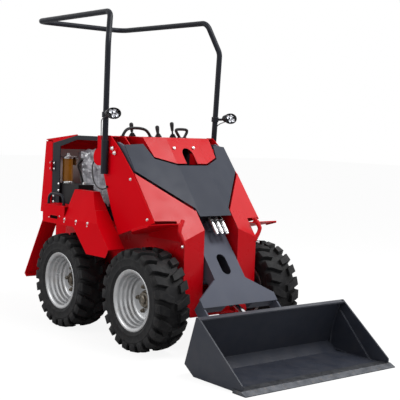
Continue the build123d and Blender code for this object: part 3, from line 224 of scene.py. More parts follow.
# %% [markdown]
# ## Finishes
# A real surface is never one colour. Paint has a slight orange peel, a sheet has soft waves,
# edges are rubbed and dust settles low down, and the enamel's folded edges are also painted
# lighter as a highlight. Each finish below mixes these from noise. The bevel node rounds every
# folded edge for the light, as a press brake does, and the difference between its normal and
# the true one marks where paint is rubbed thin and where the painted highlight goes.

# %% Small steps that every finish uses
BEVEL_SAMPLES = 6
FLAT_ENOUGH, SHARP_ENOUGH = 0.995, 0.8  # how far the bevel's normal agrees with the true one


def new_finish(name):
    finish = bpy.data.materials.new(name)
    finish.use_nodes = True
    tree = finish.node_tree
    return finish, tree, added(tree, "TexCoord").outputs["Object"]


def cloudy(tree, place, size, detail=3.0):
    """Soft random spots about this size across, from 0 to 1."""
    spots = added(tree, "TexNoise", Scale=1 / size, Detail=detail)
    tree.links.new(place, spots.inputs["Vector"])
    return spots.outputs["Fac"]


def remap(tree, value, from_low, from_high, to_low, to_high):
    step = added(tree, "MapRange", From_Min=from_low, From_Max=from_high, To_Min=to_low,
                 To_Max=to_high)
    tree.links.new(value, step.inputs["Value"])
    return step.outputs["Result"]


def spotted(tree, place, size, detail, low, high, least=0, most=1):
    """Random spots whose values from low to high are spread from the least to the most."""
    return remap(tree, cloudy(tree, place, size, detail), low, high, least, most)


def blended(tree, share, first, second):
    """A colour between two; each is a colour or the outlet of an earlier step."""
    step = added(tree, "Mix")
    step.data_type = "RGBA"
    tree.links.new(share, step.inputs["Factor"])
    for socket, colour in ((step.inputs[6], first), (step.inputs[7], second)):
        if isinstance(colour, tuple):
            socket.default_value = (*colour, 1)
        else:
            tree.links.new(colour, socket)
    return step.outputs[2]


def rounded(tree, radius):
    """A normal that rounds sharp edges."""
    bevel = added(tree, "Bevel", Radius=radius)
    bevel.samples = BEVEL_SAMPLES
    return bevel.outputs[0]


def edge_mask(tree, normal):
    """Is 1 along edges, where a rounded normal leaves the true one."""
    true_normal = added(tree, "NewGeometry").outputs["Normal"]
    compare = added(tree, "VectorMath")
    compare.operation = "DOT_PRODUCT"
    tree.links.new(normal, compare.inputs[0])
    tree.links.new(true_normal, compare.inputs[1])
    return remap(tree, compare.outputs["Value"], FLAT_ENOUGH, SHARP_ENOUGH, 0, 1)


def relief(tree, height, depth, normal=None, strength=1.0):
    step = added(tree, "Bump", Distance=depth, Strength=strength)
    tree.links.new(height, step.inputs["Height"])
    if normal is not None:
        tree.links.new(normal, step.inputs["Normal"])
    return step.outputs[0]


def low_down(tree, place, top):
    """From 1 on the ground to 0 at this height."""
    split = added(tree, "SeparateXYZ")
    tree.links.new(place, split.inputs[0])
    return remap(tree, split.outputs["Z"], 0, top, 1, 0)


def dress(tree, colour, roughness, normal, **numbers):
    """Gives the finish's own shader its colour, gloss and normal, and other plain numbers."""
    shader = tree.nodes["Principled BSDF"]
    for socket, value in (("Base Color", colour), ("Roughness", roughness), ("Normal", normal)):
        tree.links.new(value, shader.inputs[socket])
    set_sockets(shader, numbers)


print("steps ready")

# %% [markdown]
# ## Enamel
# The sheets are sprayed with enamel. Its colour drifts softly, its gloss comes in patches, and
# the coat is thin on folded edges, which take a lighter colour: partly rubbed paint, partly a
# painted highlight. The noise is in the machine's own metres, so that all parts have it at the
# same scale. The fenders and side panels stand steep and mirror the white room, so they get a
# duller red.

# %% Sprayed enamel
DRIFT_SIZE, RUB_AND_HIGHLIGHT_SIZE, DUST_SIZE, PATCH_SIZE = 0.35, 0.03, 0.06, 0.09
WAVE_SIZE, WAVE_DEPTH = 0.16, 0.0022
PEEL_SIZE, PEEL_DEPTH = 0.0035, 0.00006
ENAMEL_EDGE = 0.0025
DUST_TOP = 0.55
DUST = (0.24, 0.2, 0.17)


def enamel(name, colour, shade, rubbed_and_highlit, rough, gloss, dust=0.1):
    """Sprayed paint on steel sheet: the colour drifts, edges are rubbed and painted lighter as a
    highlight, dust lies low down.
    """
    finish, tree, place = new_finish(name)
    body = blended(tree, spotted(tree, place, DRIFT_SIZE, 4, 0.35, 0.7), colour, shade)
    normal = rounded(tree, ENAMEL_EDGE)
    # folded edges get a lighter colour in random patches: rubbed paint and a painted highlight
    thin = spotted(tree, place, RUB_AND_HIGHLIGHT_SIZE, 5, 0.35, 0.6, 0.15, 0.75)
    body = blended(tree, math_step(tree, "MULTIPLY", edge_mask(tree, normal), thin), body, rubbed_and_highlit)
    settled = spotted(tree, place, DUST_SIZE, 6, 0.4, 0.75, 0, dust)
    film = math_step(tree, "MULTIPLY", low_down(tree, place, DUST_TOP), settled)
    body = blended(tree, film, body, DUST)
    waves = relief(tree, cloudy(tree, place, WAVE_SIZE, 1), WAVE_DEPTH, normal)
    peel = relief(tree, cloudy(tree, place, PEEL_SIZE, 2), PEEL_DEPTH, waves)
    patches = spotted(tree, place, PATCH_SIZE, 5, 0.3, 0.7, *rough)
    dress(tree, body, patches, peel, Specular_IOR_Level=gloss)
    return finish


RED = (0.62, 0.002, 0.008)
RED_SHADE = (0.54, 0.0015, 0.006)
# the lighter edge colours are partly rubbed paint, partly a painted highlight on the folds
RED_RUBBED_AND_HIGHLIT = (0.8, 0.09, 0.09)
GREY_RUBBED_AND_HIGHLIT = (0.26, 0.28, 0.32)
red_paint = enamel("red_enamel", RED, RED_SHADE, RED_RUBBED_AND_HIGHLIT, (0.24, 0.36), 0.2)
red_satin = enamel(
    "red_satin_enamel", (0.76, 0.0015, 0.009), (0.68, 0.001, 0.007), RED_RUBBED_AND_HIGHLIT, (0.3, 0.44),
    0.03, 0.015)
boom_paint = enamel(
    "boom_enamel", (0.106, 0.116, 0.15), (0.093, 0.102, 0.133), GREY_RUBBED_AND_HIGHLIT, (0.42, 0.55), 0.08)
# the boom's grey made much darker for the cover: painted shade, as the flat cover catches more of
# the lamp above
cover_paint_shaded = enamel(
    "cover_enamel_painted_shade", (0.04, 0.046, 0.064), (0.034, 0.039, 0.055), GREY_RUBBED_AND_HIGHLIT, (0.34, 0.46),
    0.12, 0.03)
bucket_paint = enamel(
    "bucket_enamel", (0.026, 0.03, 0.043), (0.032, 0.037, 0.052), (0.15, 0.155, 0.17),
    (0.34, 0.5), 0.3, 0.06)
black_paint = enamel(
    "charcoal_enamel", (0.018, 0.02, 0.027), (0.013, 0.015, 0.02), (0.1, 0.105, 0.12),
    (0.3, 0.44), 0.14)
grey_primer = enamel(
    "grey_primer", (0.6, 0.54, 0.52), (0.44, 0.4, 0.385), (0.66, 0.64, 0.62), (0.6, 0.75),
    0.1, 0.05)
print("enamels: 7")

# %% [markdown]
# ## Metal
# Bolts are zinc plated, rods are chromed, the bucket's edge is worn bare and the hubs are
# greasy iron. All of them are one recipe with other numbers: a cloudy brightness, a fine grain
# and some stain. The wheels are painted silver instead, so their recipe has flake and dirt.

# %% Metals
METAL_EDGE = 0.0008
GRAIN_DEPTH = 0.00008
BROWN_STAIN = (0.2, 0.16, 0.12)


def metal(name, colour, shade, rough, grain=0.004, stain=BROWN_STAIN, stained=0.2):
    """Bare or plated metal: brushed grain, cloudy brightness and a little stain."""
    finish, tree, place = new_finish(name)
    body = blended(tree, spotted(tree, place, 0.05, 5, 0.3, 0.7), colour, shade)
    body = blended(tree, spotted(tree, place, 0.02, 6, 0.55, 0.75, 0, stained), body, stain)
    brushed = relief(tree, cloudy(tree, place, grain, 4), GRAIN_DEPTH, rounded(tree, METAL_EDGE))
    patches = spotted(tree, place, grain * 4, 4, 0.3, 0.7, *rough)
    dress(tree, body, patches, brushed, Metallic=1.0)
    return finish


plated_steel = metal("plated_steel", (0.72, 0.72, 0.72), (0.5, 0.5, 0.51), (0.22, 0.4))
bright_zinc = metal("bright_zinc", (0.86, 0.86, 0.86), (0.7, 0.7, 0.71), (0.16, 0.3), stained=0.05)
chrome = metal("polished_rod", (0.82, 0.82, 0.84), (0.7, 0.7, 0.72), (0.06, 0.14), stained=0.05)
mirror_silver = metal(
    "mirror_silver", (0.95, 0.95, 0.96), (0.85, 0.85, 0.87), (0.05, 0.1), stained=0.02)
worn_steel = metal(
    "worn_cutting_steel", (0.13, 0.135, 0.15), (0.06, 0.065, 0.075), (0.35, 0.55), stained=0.35)
cast_iron = metal(
    "oily_cast_iron", (0.09, 0.09, 0.095), (0.05, 0.05, 0.052), (0.4, 0.65), 0.003, stained=0.5)
hub_iron = metal(
    "hub_iron", (0.22, 0.2, 0.17), (0.07, 0.055, 0.04), (0.3, 0.5), 0.002, (0.16, 0.09, 0.04), 0.6)


def rim_silver():
    """Silver wheel paint: fine metallic flake and random spots of dirt."""
    finish, tree, place = new_finish("silver_wheel_paint")
    drift = spotted(tree, place, 0.12, 4, 0.3, 0.7)
    body = blended(tree, drift, (0.5, 0.51, 0.52), (0.4, 0.405, 0.415))
    flake = spotted(tree, place, 0.0012, 1, 0.4, 0.6, 0, 0.2)
    body = blended(tree, flake, body, (0.8, 0.8, 0.82))
    dirt = spotted(tree, place, 0.04, 6, 0.52, 0.75, 0, 0.35)
    body = blended(tree, dirt, body, (0.3, 0.27, 0.23))
    skin = relief(tree, cloudy(tree, place, 0.004, 2), 0.0001, rounded(tree, 0.0015))
    patches = spotted(tree, place, 0.05, 4, 0.3, 0.7, 0.26, 0.42)
    dress(tree, body, patches, skin, Metallic=0.75)
    return finish


wheel_silver = rim_silver()
print("metals: 8")

# %% [markdown]
# ## Rubber, plastic, film and glass
# Moulded parts have a fine grain and a dull, patchy gloss, and a tyre also holds dust. The film
# round the seat is thin and milky, and shines on its creases, which the cells of a Voronoi
# pattern give with few nodes. Lamp glass only needs to pass light and to be faintly fluted.

# %% Rubber, plastics and film
MOULD_EDGE = 0.0015
SOIL = (0.2, 0.19, 0.17)


def moulded(name, colour, shade, rough, grain, depth, radius=MOULD_EDGE, dust=0.0, coat=0.0,
            gloss=0.5):
    """Rubber or plastic from a mould: fine grain and a dull, patchy gloss."""
    finish, tree, place = new_finish(name)
    body = blended(tree, spotted(tree, place, 0.08, 5, 0.35, 0.68), colour, shade)
    if dust:
        body = blended(tree, spotted(tree, place, 0.03, 6, 0.45, 0.72, 0, dust), body, SOIL)
    skin = relief(tree, cloudy(tree, place, grain, 3), depth, rounded(tree, radius))
    patches = spotted(tree, place, 0.02, 4, 0.3, 0.7, *rough)
    dress(tree, body, patches, skin, Coat_Weight=coat, Specular_IOR_Level=gloss)
    return finish


tyre_rubber = moulded(
    "tyre_rubber", (0.009, 0.009, 0.01), (0.014, 0.014, 0.0155), (0.5, 0.68), 0.003, 0.0002,
    radius=0.004, dust=0.06, gloss=0.18)
black_plastic = moulded(
    "black_plastic", (0.012, 0.012, 0.014), (0.018, 0.018, 0.02), (0.3, 0.45), 0.0015, 0.0001,
    gloss=0.2)
# a black with a red cast: painted shadow, laid where a hole's dark inside would show
painted_shadow_black = moulded(
    "deep_shadow_black", (0.004, 0.001, 0.001), (0.006, 0.002, 0.002), (0.7, 0.9), 0.002, 0.0001,
    gloss=0.02)
hose_rubber = moulded(
    "hose_rubber", (0.012, 0.012, 0.013), (0.02, 0.02, 0.022), (0.35, 0.5), 0.002, 0.0001)
amber = moulded(
    "amber_plastic", (0.26, 0.1, 0.006), (0.16, 0.055, 0.004), (0.25, 0.4), 0.004, 0.00008,
    radius=0.003, coat=0.1, gloss=0.3)


def seat_film():
    """Thin crumpled film: milky, glossy on its creases, with sharp little folds."""
    finish, tree, place = new_finish("wrapping_film")
    milky = spotted(tree, place, 0.07, 4, 0.36, 0.66)
    body = blended(tree, milky, (0.12, 0.124, 0.14), (0.46, 0.475, 0.515))
    folds = added(tree, "TexVoronoi", Scale=16)
    folds.feature = "DISTANCE_TO_EDGE"
    tree.links.new(place, folds.inputs["Vector"])
    creased = relief(tree, folds.outputs["Distance"], 0.012, strength=0.7)
    fine = relief(tree, cloudy(tree, place, 0.02, 3), 0.003, creased)
    patches = spotted(tree, place, 0.03, 3, 0.3, 0.7, 0.12, 0.32)
    dress(tree, body, patches, fine, Coat_Weight=0.35, Coat_Roughness=0.15)
    return finish


def lamp_glass():
    """The clear front of a work lamp, faintly fluted."""
    finish, tree, place = new_finish("lamp_glass")
    tint = blended(tree, cloudy(tree, place, 0.03), (0.95, 0.96, 0.97), (0.85, 0.87, 0.9))
    flutes = relief(tree, cloudy(tree, place, 0.006, 1), 0.0002)
    patches = spotted(tree, place, 0.01, 2, 0.3, 0.7, 0.03, 0.09)
    dress(tree, tint, patches, flutes, Transmission_Weight=1.0, IOR=1.2)
    return finish


film = seat_film()
clear_glass = lamp_glass()
print("soft and clear finishes: 7")

# %% [markdown]
# ## Paint the fixed parts
# The parts whose shape is right keep their CAD mesh. A table gives each material slot its
# finish. The steep red sheets take the duller red, and the boom's cover a darker copy of the
# arm's grey, which is painted shade, because the cover lies flatter and catches more of the
# lamp above.

# %% Give each fixed part its finish
SLOT_FINISHES = {
    "red_paint": red_paint, "boom_paint": boom_paint, "bucket_paint": bucket_paint,
    "black_paint": black_paint, "rim_paint": wheel_silver, "tyre": tyre_rubber,
    "plain_steel": plated_steel, "chrome_rod": chrome, "engine": cast_iron, "film": film,
    "amber": amber, "black_plastic": black_plastic, "worn_steel": worn_steel,
}
SATIN_NODES = ("rear_fender", "front_fender", "side_panel", "rear_door", "top_cover",
               "rear_bumper", "seat_deck")
slot_of = {row["node"]: row["material_slot"] for row in frame["record"]["subparts"]}
for node, thing in frame["nodes"].items():
    finish = SLOT_FINISHES[slot_of[node]]
    if node.startswith(SATIN_NODES):
        finish = red_satin
    # the cover takes the darker grey as painted shade
    if node == "boom_cover":
        finish = cover_paint_shaded
    if not thing.material_slots:
        thing.data.materials.append(finish)
    for holder in thing.material_slots:
        holder.material = finish
print("painted nodes:", len(slot_of))

# %% [markdown]
# ## Making meshes
# Most small pieces are turned on a lathe, cut from plate or bent from tube, and so are their
# meshes here: each helper makes one of these forms from a short outline. A piece then rides on
# the body that carries it, so it moves with the machine.

# %% Mesh helpers
UP, SIDEWAYS = (0, 0, 1), (0, 1, 0)
ON_AXIS = 1e-6  # a radius below this is a point


def piece(name, mesh, finish, body="chassis", sharp=35):
    """Makes an object of a bmesh, smooths all but its sharp folds, and rides it on a body."""
    data = bpy.data.meshes.new(name)
    bmesh.ops.recalc_face_normals(mesh, faces=mesh.faces)
    mesh.to_mesh(data)
    mesh.free()
    data.shade_smooth()
    data.set_sharp_from_angle(angle=radians(sharp))
    data.materials.append(finish)
    thing = put_in(name, data)
    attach(thing, body)
    return thing


def frame_along(start, direction):
    """A matrix at a place whose Z runs along a direction."""
    turn = Vector(direction).normalized().to_track_quat("Z", "Y")
    return Matrix.Translation(start) @ turn.to_matrix().to_4x4()


def skin_between(mesh, low, high):
    """Faces between two rings of points; a ring may be a single point."""
    count = max(len(low), len(high))
    for i in range(count):
        j = (i + 1) % count
        corners = [low[i % len(low)], low[j % len(low)], high[j % len(high)], high[i % len(high)]]
        unique = [v for k, v in enumerate(corners) if v not in corners[:k]]
        if len(unique) > 2:
            mesh.faces.new(unique)


def loft(mesh, rings):
    """Skins rings of points one after the other and closes both ends."""
    for low, high in zip(rings, rings[1:]):
        skin_between(mesh, low, high)
    mesh.faces.new(rings[0][::-1])
    mesh.faces.new(rings[-1])


def steps_round(count):
    return [2 * pi * i / count for i in range(count)]


def turned(mesh, profile, matrix, segments=48, closed=False):
    """Turns a profile of (radius, height) about the matrix's Z."""
    rings = []
    for radius, height in profile:
        turns = steps_round(segments) if radius > ON_AXIS else [0]
        spots = [Vector((radius * cos(turn), radius * sin(turn), height)) for turn in turns]
        rings.append([mesh.verts.new(matrix @ spot) for spot in spots])
    for low, high in zip(rings, rings[1:] + rings[:1] if closed else rings[1:]):
        skin_between(mesh, low, high)


def turned_at(mesh, profile, place, direction, segments):
    """Turns a profile about a direction through a place in millimetres."""
    turned(mesh, profile, frame_along(at(*place), direction), segments)


def slab(mesh, outline, matrix, thick):
    """Raises a closed outline of (x, y) by a thickness along the matrix's Z."""
    low = [mesh.verts.new(matrix @ Vector((x, y, 0))) for x, y in outline]
    high = [mesh.verts.new(matrix @ Vector((x, y, thick))) for x, y in outline]
    mesh.faces.new(low[::-1])
    mesh.faces.new(high)
    skin_between(mesh, low, high)


def bent_tube(mesh, points, radius, segments=12, rounds=3):
    """A tube along points whose corners are cut round and round until they flow."""
    path = [Vector(p) for p in points]
    for _ in range(rounds):
        finer = [path[0]]
        for a, b in zip(path, path[1:]):
            finer += [a.lerp(b, 0.25), a.lerp(b, 0.75)]
        path = finer + [path[-1]]
    turns = steps_round(segments)
    side = (path[1] - path[0]).orthogonal().normalized()
    rings = []
    for i, p in enumerate(path):
        run = (path[min(i + 1, len(path) - 1)] - path[max(i - 1, 0)]).normalized()
        side = (side - run * side.dot(run)).normalized()
        other = run.cross(side)
        spots = [p + (side * cos(turn) + other * sin(turn)) * radius for turn in turns]
        rings.append([mesh.verts.new(spot) for spot in spots])
    loft(mesh, rings)


print("helpers ready")

# %% [markdown]
# ## Tyres
# A skid steer tyre has a flat carcass and tall lugs that lean to the middle from both
# shoulders, a long one and a short one in turn. The carcass is turned from its section. Each
# lug is a small loft from the sidewall to the middle, and wider at its foot.

# %% Tyre section and lugs
TYRE_RADIUS = 0.2875
TYRE_MIDDLE_Y = 0.407
TYRE_SEGMENTS = 132
CARCASS = (  # radius, distance from the tyre's middle
    (0.1545, 0.082), (0.166, 0.0915), (0.176, 0.097), (0.186, 0.0995), (0.1905, 0.1025),
    (0.195, 0.1015), (0.206, 0.1025), (0.222, 0.1028), (0.228, 0.1045), (0.233, 0.1025),
    (0.246, 0.097), (0.256, 0.086), (0.2615, 0.066), (0.264, 0.03),
)
TREAD_FROM = 0.22  # the carcass radius where the tread begins
LUGS_A_SIDE = 22
LUG_STATIONS = (  # distance from the middle, radius of its top, lag along the tread, half width
    (0.1045, 0.236, 0.000, 0.0195),
    (0.1068, 0.258, 0.000, 0.0235),
    (0.1, 0.2765, 0.002, 0.025),
    (0.074, 0.2845, 0.012, 0.024),
    (0.043, 0.287, 0.03, 0.0205),
    (0.008, 0.2873, 0.044, 0.0165),
)
LUG_FOOT = 0.0065  # how much wider a lug is at its foot
LUG_SINK = 0.002  # how deep the foot goes into the carcass
SIDEWALL_Y = 0.103  # further out than this, a lug stands on the sidewall
SIDEWALL_FOOT = (0.098, 0.224)  # its foot there: distance from the middle, radius
SHORT_LUG_END, SHORT_LUG_TAPER, SHORT_LUG_LAG = 0.045, 0.006, 0.028
LUG_SHIFT = 0.52  # of the step from lug to lug; the other side stands half a step further on


def carcass_radius(y):
    rows = sorted((row for row in CARCASS if row[0] > TREAD_FROM), key=lambda row: row[1])
    for (r0, y0), (r1, y1) in zip(rows, rows[1:]):
        if y0 <= y <= y1:
            return r0 + (r1 - r0) * (y - y0) / (y1 - y0)
    return rows[0][0] if y < rows[0][1] else rows[-1][0]


def lug(mesh, centre, outward, start, short):
    """One lug: a loft along the tread from the sidewall to the middle."""
    rings = []
    for y, top, lag, half_width in LUG_STATIONS:
        last = short and y < SHORT_LUG_END
        if last:
            y, lag = SHORT_LUG_END - SHORT_LUG_TAPER, SHORT_LUG_LAG
        foot_y, foot = SIDEWALL_FOOT if y > SIDEWALL_Y else (y, carcass_radius(y) - LUG_SINK)
        spread = half_width + LUG_FOOT
        ring = []
        for radius, across, place_y in ((foot, -spread, foot_y), (top, -half_width, y),
                                        (top, half_width, y), (foot, spread, foot_y)):
            turn = start - (lag + across) / TYRE_RADIUS
            spot = Vector((radius * cos(turn), outward * place_y, radius * sin(turn)))
            ring.append(mesh.verts.new(centre + spot))
        rings.append(ring)
        if last:
            break
    loft(mesh, rings)


def wheel_centre(end, hand, sign):
    centre = middle(f"rim_{end}_{hand}")
    centre.y = sign * TYRE_MIDDLE_Y
    return centre


def tyre(end, hand, sign):
    mesh = bmesh.new()
    centre = wheel_centre(end, hand, sign)
    section = [(r, -y) for r, y in CARCASS] + [(r, y) for r, y in reversed(CARCASS)]
    turned(mesh, section, frame_along(centre, SIDEWAYS), TYRE_SEGMENTS, closed=True)
    for i in range(LUGS_A_SIDE):
        for outward, shift in ((-sign, LUG_SHIFT), (sign, LUG_SHIFT + 0.5)):
            start = 2 * pi * (i + shift) / LUGS_A_SIDE
            lug(mesh, centre, outward, start, i % 2 == 1)
    name = f"dressed_tyre_{end}_{hand}"
    thing = piece(name, mesh, tyre_rubber, f"wheel_{end}_{hand}", 28)
    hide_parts(name.replace("dressed_", ""))
    return thing


WHEELS = [(end, hand, sign) for end in ("front", "rear") for hand, sign in HANDS]
for row in WHEELS:
    done = tyre(*row)
print("tyres: 4, faces each:", len(done.data.polygons))

# %% [markdown]
# ## Rims
# The rim is a pressed dish in silver paint: a rolled lip, then three steps down to a flat
# disc far inside, with five cone nuts round a greasy hub. A turned profile gives the steps
# their soft shoulders, which a coarse CAD ring can't show. The hub and the wheel nuts are
# pieces of their own, because they are bare iron.

# %% Rim, nuts and hub
RIM_DISH = (  # radius, distance outward from the tyre's middle
    (0.1535, 0.03), (0.1535, 0.082), (0.158, 0.0885), (0.169, 0.0918), (0.1712, 0.0905),
    (0.1725, 0.0925), (0.1705, 0.0945), (0.1665, 0.095), (0.158, 0.0925), (0.15, 0.088),
    (0.1475, 0.082), (0.1468, 0.07), (0.144, 0.065), (0.14, 0.0625), (0.1378, 0.058),
    (0.137, 0.046), (0.1345, 0.0415), (0.1305, 0.039), (0.1285, 0.0345), (0.1278, 0.023),
    (0.1255, 0.018), (0.121, 0.0155), (0.119, 0.011), (0.1185, 0.002), (0.115, -0.004),
    (0.108, -0.0075), (0.095, -0.008), (0.056, -0.008), (0.053, -0.006),
    (0.05, -0.006), (0.05, -0.017), (0.115, -0.017), (0.132, -0.01),
    (0.133, -0.05), (0.145, -0.062), (0.148, -0.086), (0.164, -0.094),
    (0.1712, -0.092), (0.16, -0.088), (0.1535, -0.08), (0.1535, -0.06), (0.139, -0.05),
    (0.139, 0.012),
)
HUB_FACE = (  # radius, distance outward
    (0.0505, -0.012), (0.0505, -0.004), (0.047, 0.0005), (0.044, 0.002), (0.042, 0.01),
    (0.039, 0.0128), (0.034, 0.0132), (0.033, 0.012), (0.025, 0.012),
)
HUB_NUT = (0.029, 0.0118, 0.0085)  # size, height of its foot, thickness
HUB_NUT_TOP = ((0.0225, 0.02), (0.0225, 0.0215), (0.0195, 0.023))
NUT_CIRCLE, NUT_COUNT = 0.07, 5
WHEEL_NUT = (0.0115, 0.0038, 0.009)
DISC = -0.008  # distance outward of the flat disc that the nuts hold
CONE_SEAT = ((0, 0), (0.0135, 0), (0.0125, 0.003), (0.0115, 0.004), (0, 0.004))
STUD_END = ((0.0098, 0.0128), (0.0075, 0.0145), (0.0055, 0.0145), (0.0055, 0.019), (0.0045, 0.02),
            (0, 0.02))
VALVE = ((0.006, 0), (0.0055, 0.012), (0.0038, 0.014), (0.0038, 0.032), (0, 0.033))
VALVE_CIRCLE, VALVE_TURN, VALVE_FOOT = 0.126, 0.6, 0.012


def raised(matrix, height):
    return matrix @ Matrix.Translation((0, 0, height))


def hexagon(mesh, matrix, size, foot, thick):
    corners = [(size * cos(pi / 3 * i), size * sin(pi / 3 * i)) for i in range(6)]
    slab(mesh, corners, raised(matrix, foot), thick)


def round_about(matrix, radius, turn, height):
    """A matrix moved out from its Z by a radius, in the direction of a turn."""
    return matrix @ Matrix.Translation((radius * cos(turn), radius * sin(turn), height))


def cone_nut(mesh, matrix):
    """A wheel nut: a cone seat, a hexagon and the end of its stud."""
    turned(mesh, CONE_SEAT, matrix, 18)
    hexagon(mesh, matrix, *WHEEL_NUT)
    turned(mesh, STUD_END, matrix, 18)


def rim(end, hand, sign):
    body = f"wheel_{end}_{hand}"
    matrix = frame_along(wheel_centre(end, hand, sign), (0, sign, 0))
    dish = bmesh.new()
    turned(dish, RIM_DISH, matrix, 120, closed=True)
    thing = piece(f"dressed_rim_{end}_{hand}", dish, wheel_silver, body, 40)
    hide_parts(f"rim_{end}_{hand}")
    nuts = bmesh.new()
    for turn in steps_round(NUT_COUNT):
        cone_nut(nuts, round_about(matrix, NUT_CIRCLE, pi + turn, DISC))
    turned(nuts, VALVE, round_about(matrix, VALVE_CIRCLE, VALVE_TURN, VALVE_FOOT), 12)
    piece(f"wheel_nuts_{end}_{hand}", nuts, hub_iron, body)
    hub = bmesh.new()
    turned(hub, HUB_FACE, matrix, 48)
    hexagon(hub, matrix, *HUB_NUT)
    turned(hub, HUB_NUT_TOP, matrix, 36)
    piece(f"hub_{end}_{hand}", hub, hub_iron, body)


for row in WHEELS:
    rim(*row)
print("rims, nut sets and hubs: 12")

# %% [markdown]
# ## Dark insides
# Behind the slot in the bonnet a bulkhead closes the console off from the engine bay. Its black
# is painted shade, as dark as the view through the slot. The roof also has a turned-down rear
# edge that overlaps the door. Both are plain folded sheet, so each is one slab.

# %% Bulkhead and roof edge
def plate_between(mesh, low, high):
    """A straight sheet between two opposite corners, in millimetres on the machine."""
    a, b = at(*low), at(*high)
    outline = [(a.x, a.y), (b.x, a.y), (b.x, b.y), (a.x, b.y)]
    slab(mesh, outline, Matrix.Translation((0, 0, a.z)), b.z - a.z)


# the bulkhead's black stands for the shade seen through the bonnet slot
bulkhead = bmesh.new()
plate_between(bulkhead, (-475, -376, 901), (-472, 376, 1168))
piece("bulkhead", bulkhead, black_paint)
roof_edge = bmesh.new()
plate_between(roof_edge, (-1158, -376, 1106), (-1155, 376, 1136))
piece("roof_rear_edge", roof_edge, red_satin)
print("sheets: 2")

# %% [markdown]
# ## Work lamps
# Each lamp is an oval black housing with four bright reflector cups behind clear glass. An oval
# is a turned form that is flattened along one axis, so the turning helper takes a squeezed
# matrix. The cups are turned too, with the hollow side to the front. A bracket clamps the lamp
# to its post, and its wire hangs down the back.

# %% Lamps, brackets and wires
LAMP_PLACE = (-310, 438, 1307)
LAMP_FLAT = 0.66
LAMP_SHELL = (  # half width, depth from the front
    (0, -0.05), (0.027, -0.05), (0.035, -0.046), (0.042, -0.025), (0.0455, -0.011),
    (0.0495, -0.0095), (0.05, -0.008), (0.05, -0.0015), (0.0485, 0), (0.0455, 0),
    (0.0435, -0.002), (0.0415, -0.012), (0, -0.013),
)
LAMP_FRONT = ((0, -0.001), (0.025, -0.0013), (0.0438, -0.0022), (0.0438, -0.0034), (0, -0.0026))
CUP = ((0.0112, -0.0035), (0.0105, -0.0035), (0.009, -0.0075), (0.0055, -0.0112), (0, -0.0122))
CUP_PLACES = ((-0.0215, 0.0095), (0.0035, 0.0125), (-0.0035, -0.0125), (0.0215, -0.0095))
BRACKET = ((-357, 438, 1307), (-385, 436, 1300), (-432, 414, 1299))
CLAMP = ((0.0205, -0.016), (0.0225, -0.015), (0.0225, 0.015), (0.0205, 0.016))
CLAMP_PLACE = (-434.6, 412.5, 1299)
POST_RUN = (20, 9.5, 564)
LAMP_WIRE = ((-358, 440, 1299), (-378, 452, 1286), (-432, 443, 1272), (-452, 431, 1240),
             (-456, 427, 1205), (-455, 428, 1170), (-449, 422, 1140))


def lamp(hand, sign):
    front = framed(places([LAMP_PLACE], sign)[0], SIDEWAYS, UP, (1, 0, 0))
    squeezed = front @ Matrix.Diagonal((1, LAMP_FLAT, 1, 1))
    shell = bmesh.new()
    turned(shell, LAMP_SHELL, squeezed, 72)
    housing = piece(f"lamp_housing_{hand}", shell, black_plastic, sharp=30)
    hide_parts(f"lamp_{hand}")
    cups = bmesh.new()
    for across, high in CUP_PLACES:
        turned(cups, CUP, front @ Matrix.Translation((across, high, 0)), 32)
    piece(f"lamp_reflectors_{hand}", cups, mirror_silver, sharp=50)
    glass = bmesh.new()
    turned(glass, LAMP_FRONT, squeezed, 64)
    piece(f"lamp_glass_{hand}", glass, clear_glass, sharp=60)
    bracket = bmesh.new()
    bent_tube(bracket, places(BRACKET, sign), 0.0075)
    run = Vector((POST_RUN[0], sign * POST_RUN[1], POST_RUN[2]))
    turned(bracket, CLAMP, frame_along(places([CLAMP_PLACE], sign)[0], run), 40, closed=True)
    piece(f"lamp_bracket_{hand}", bracket, black_paint)
    wire = bmesh.new()
    bent_tube(wire, places(LAMP_WIRE, sign), 0.0028, 8)
    piece(f"lamp_wire_{hand}", wire, hose_rubber)


for hand, sign in HANDS:
    lamp(hand, sign)
print("lamps:", len(HANDS))

# %% [markdown]
# ## Hand controls
# Three levers with ribbed rubber boots lean to the operator, between two bent grab handles. A
# real knob swells to the hand and ends in a dome, so it is turned from a curved profile.

# %% Levers and grab handles
CONSOLE_Z = 1177
LEVER_FOOT_X, LEVER_HEAD_X = -500, -517
LEVERS = ((-176, 1260), (18, 1248), (130, 1273))  # y, top z
GRAB_X = -450
GRABS = (  # y, z
    ((-281, 1177), (-262, 1211), (-232, 1227), (-150, 1228), (-104, 1215), (-77, 1177)),
    ((146, 1177), (113, 1219), (118, 1229), (190, 1230), (206, 1220), (180, 1177)),
)
GRAB_FEET = (-281, -77, 146, 180)
FOOT_RING = ((0.0155, 0), (0.0155, 0.003), (0.009, 0.004))
KNOB = ((0.0065, 0), (0.0088, 0.002), (0.0095, 0.012), (0.0122, 0.035), (0.0128, 0.046),
        (0.0105, 0.053), (0.005, 0.0565), (0, 0.057))
KNOB_LENGTH = 0.057
ROD_SHORT = 0.05  # the rod ends this far inside the knob
BOOT = ((0.022, 0), (0.022, 0.004), (0.0185, 0.006), (0.0195, 0.009), (0.0155, 0.011),
        (0.0165, 0.014), (0.0125, 0.016), (0.0135, 0.019), (0.0095, 0.022), (0.0062, 0.024))
controls = bmesh.new()
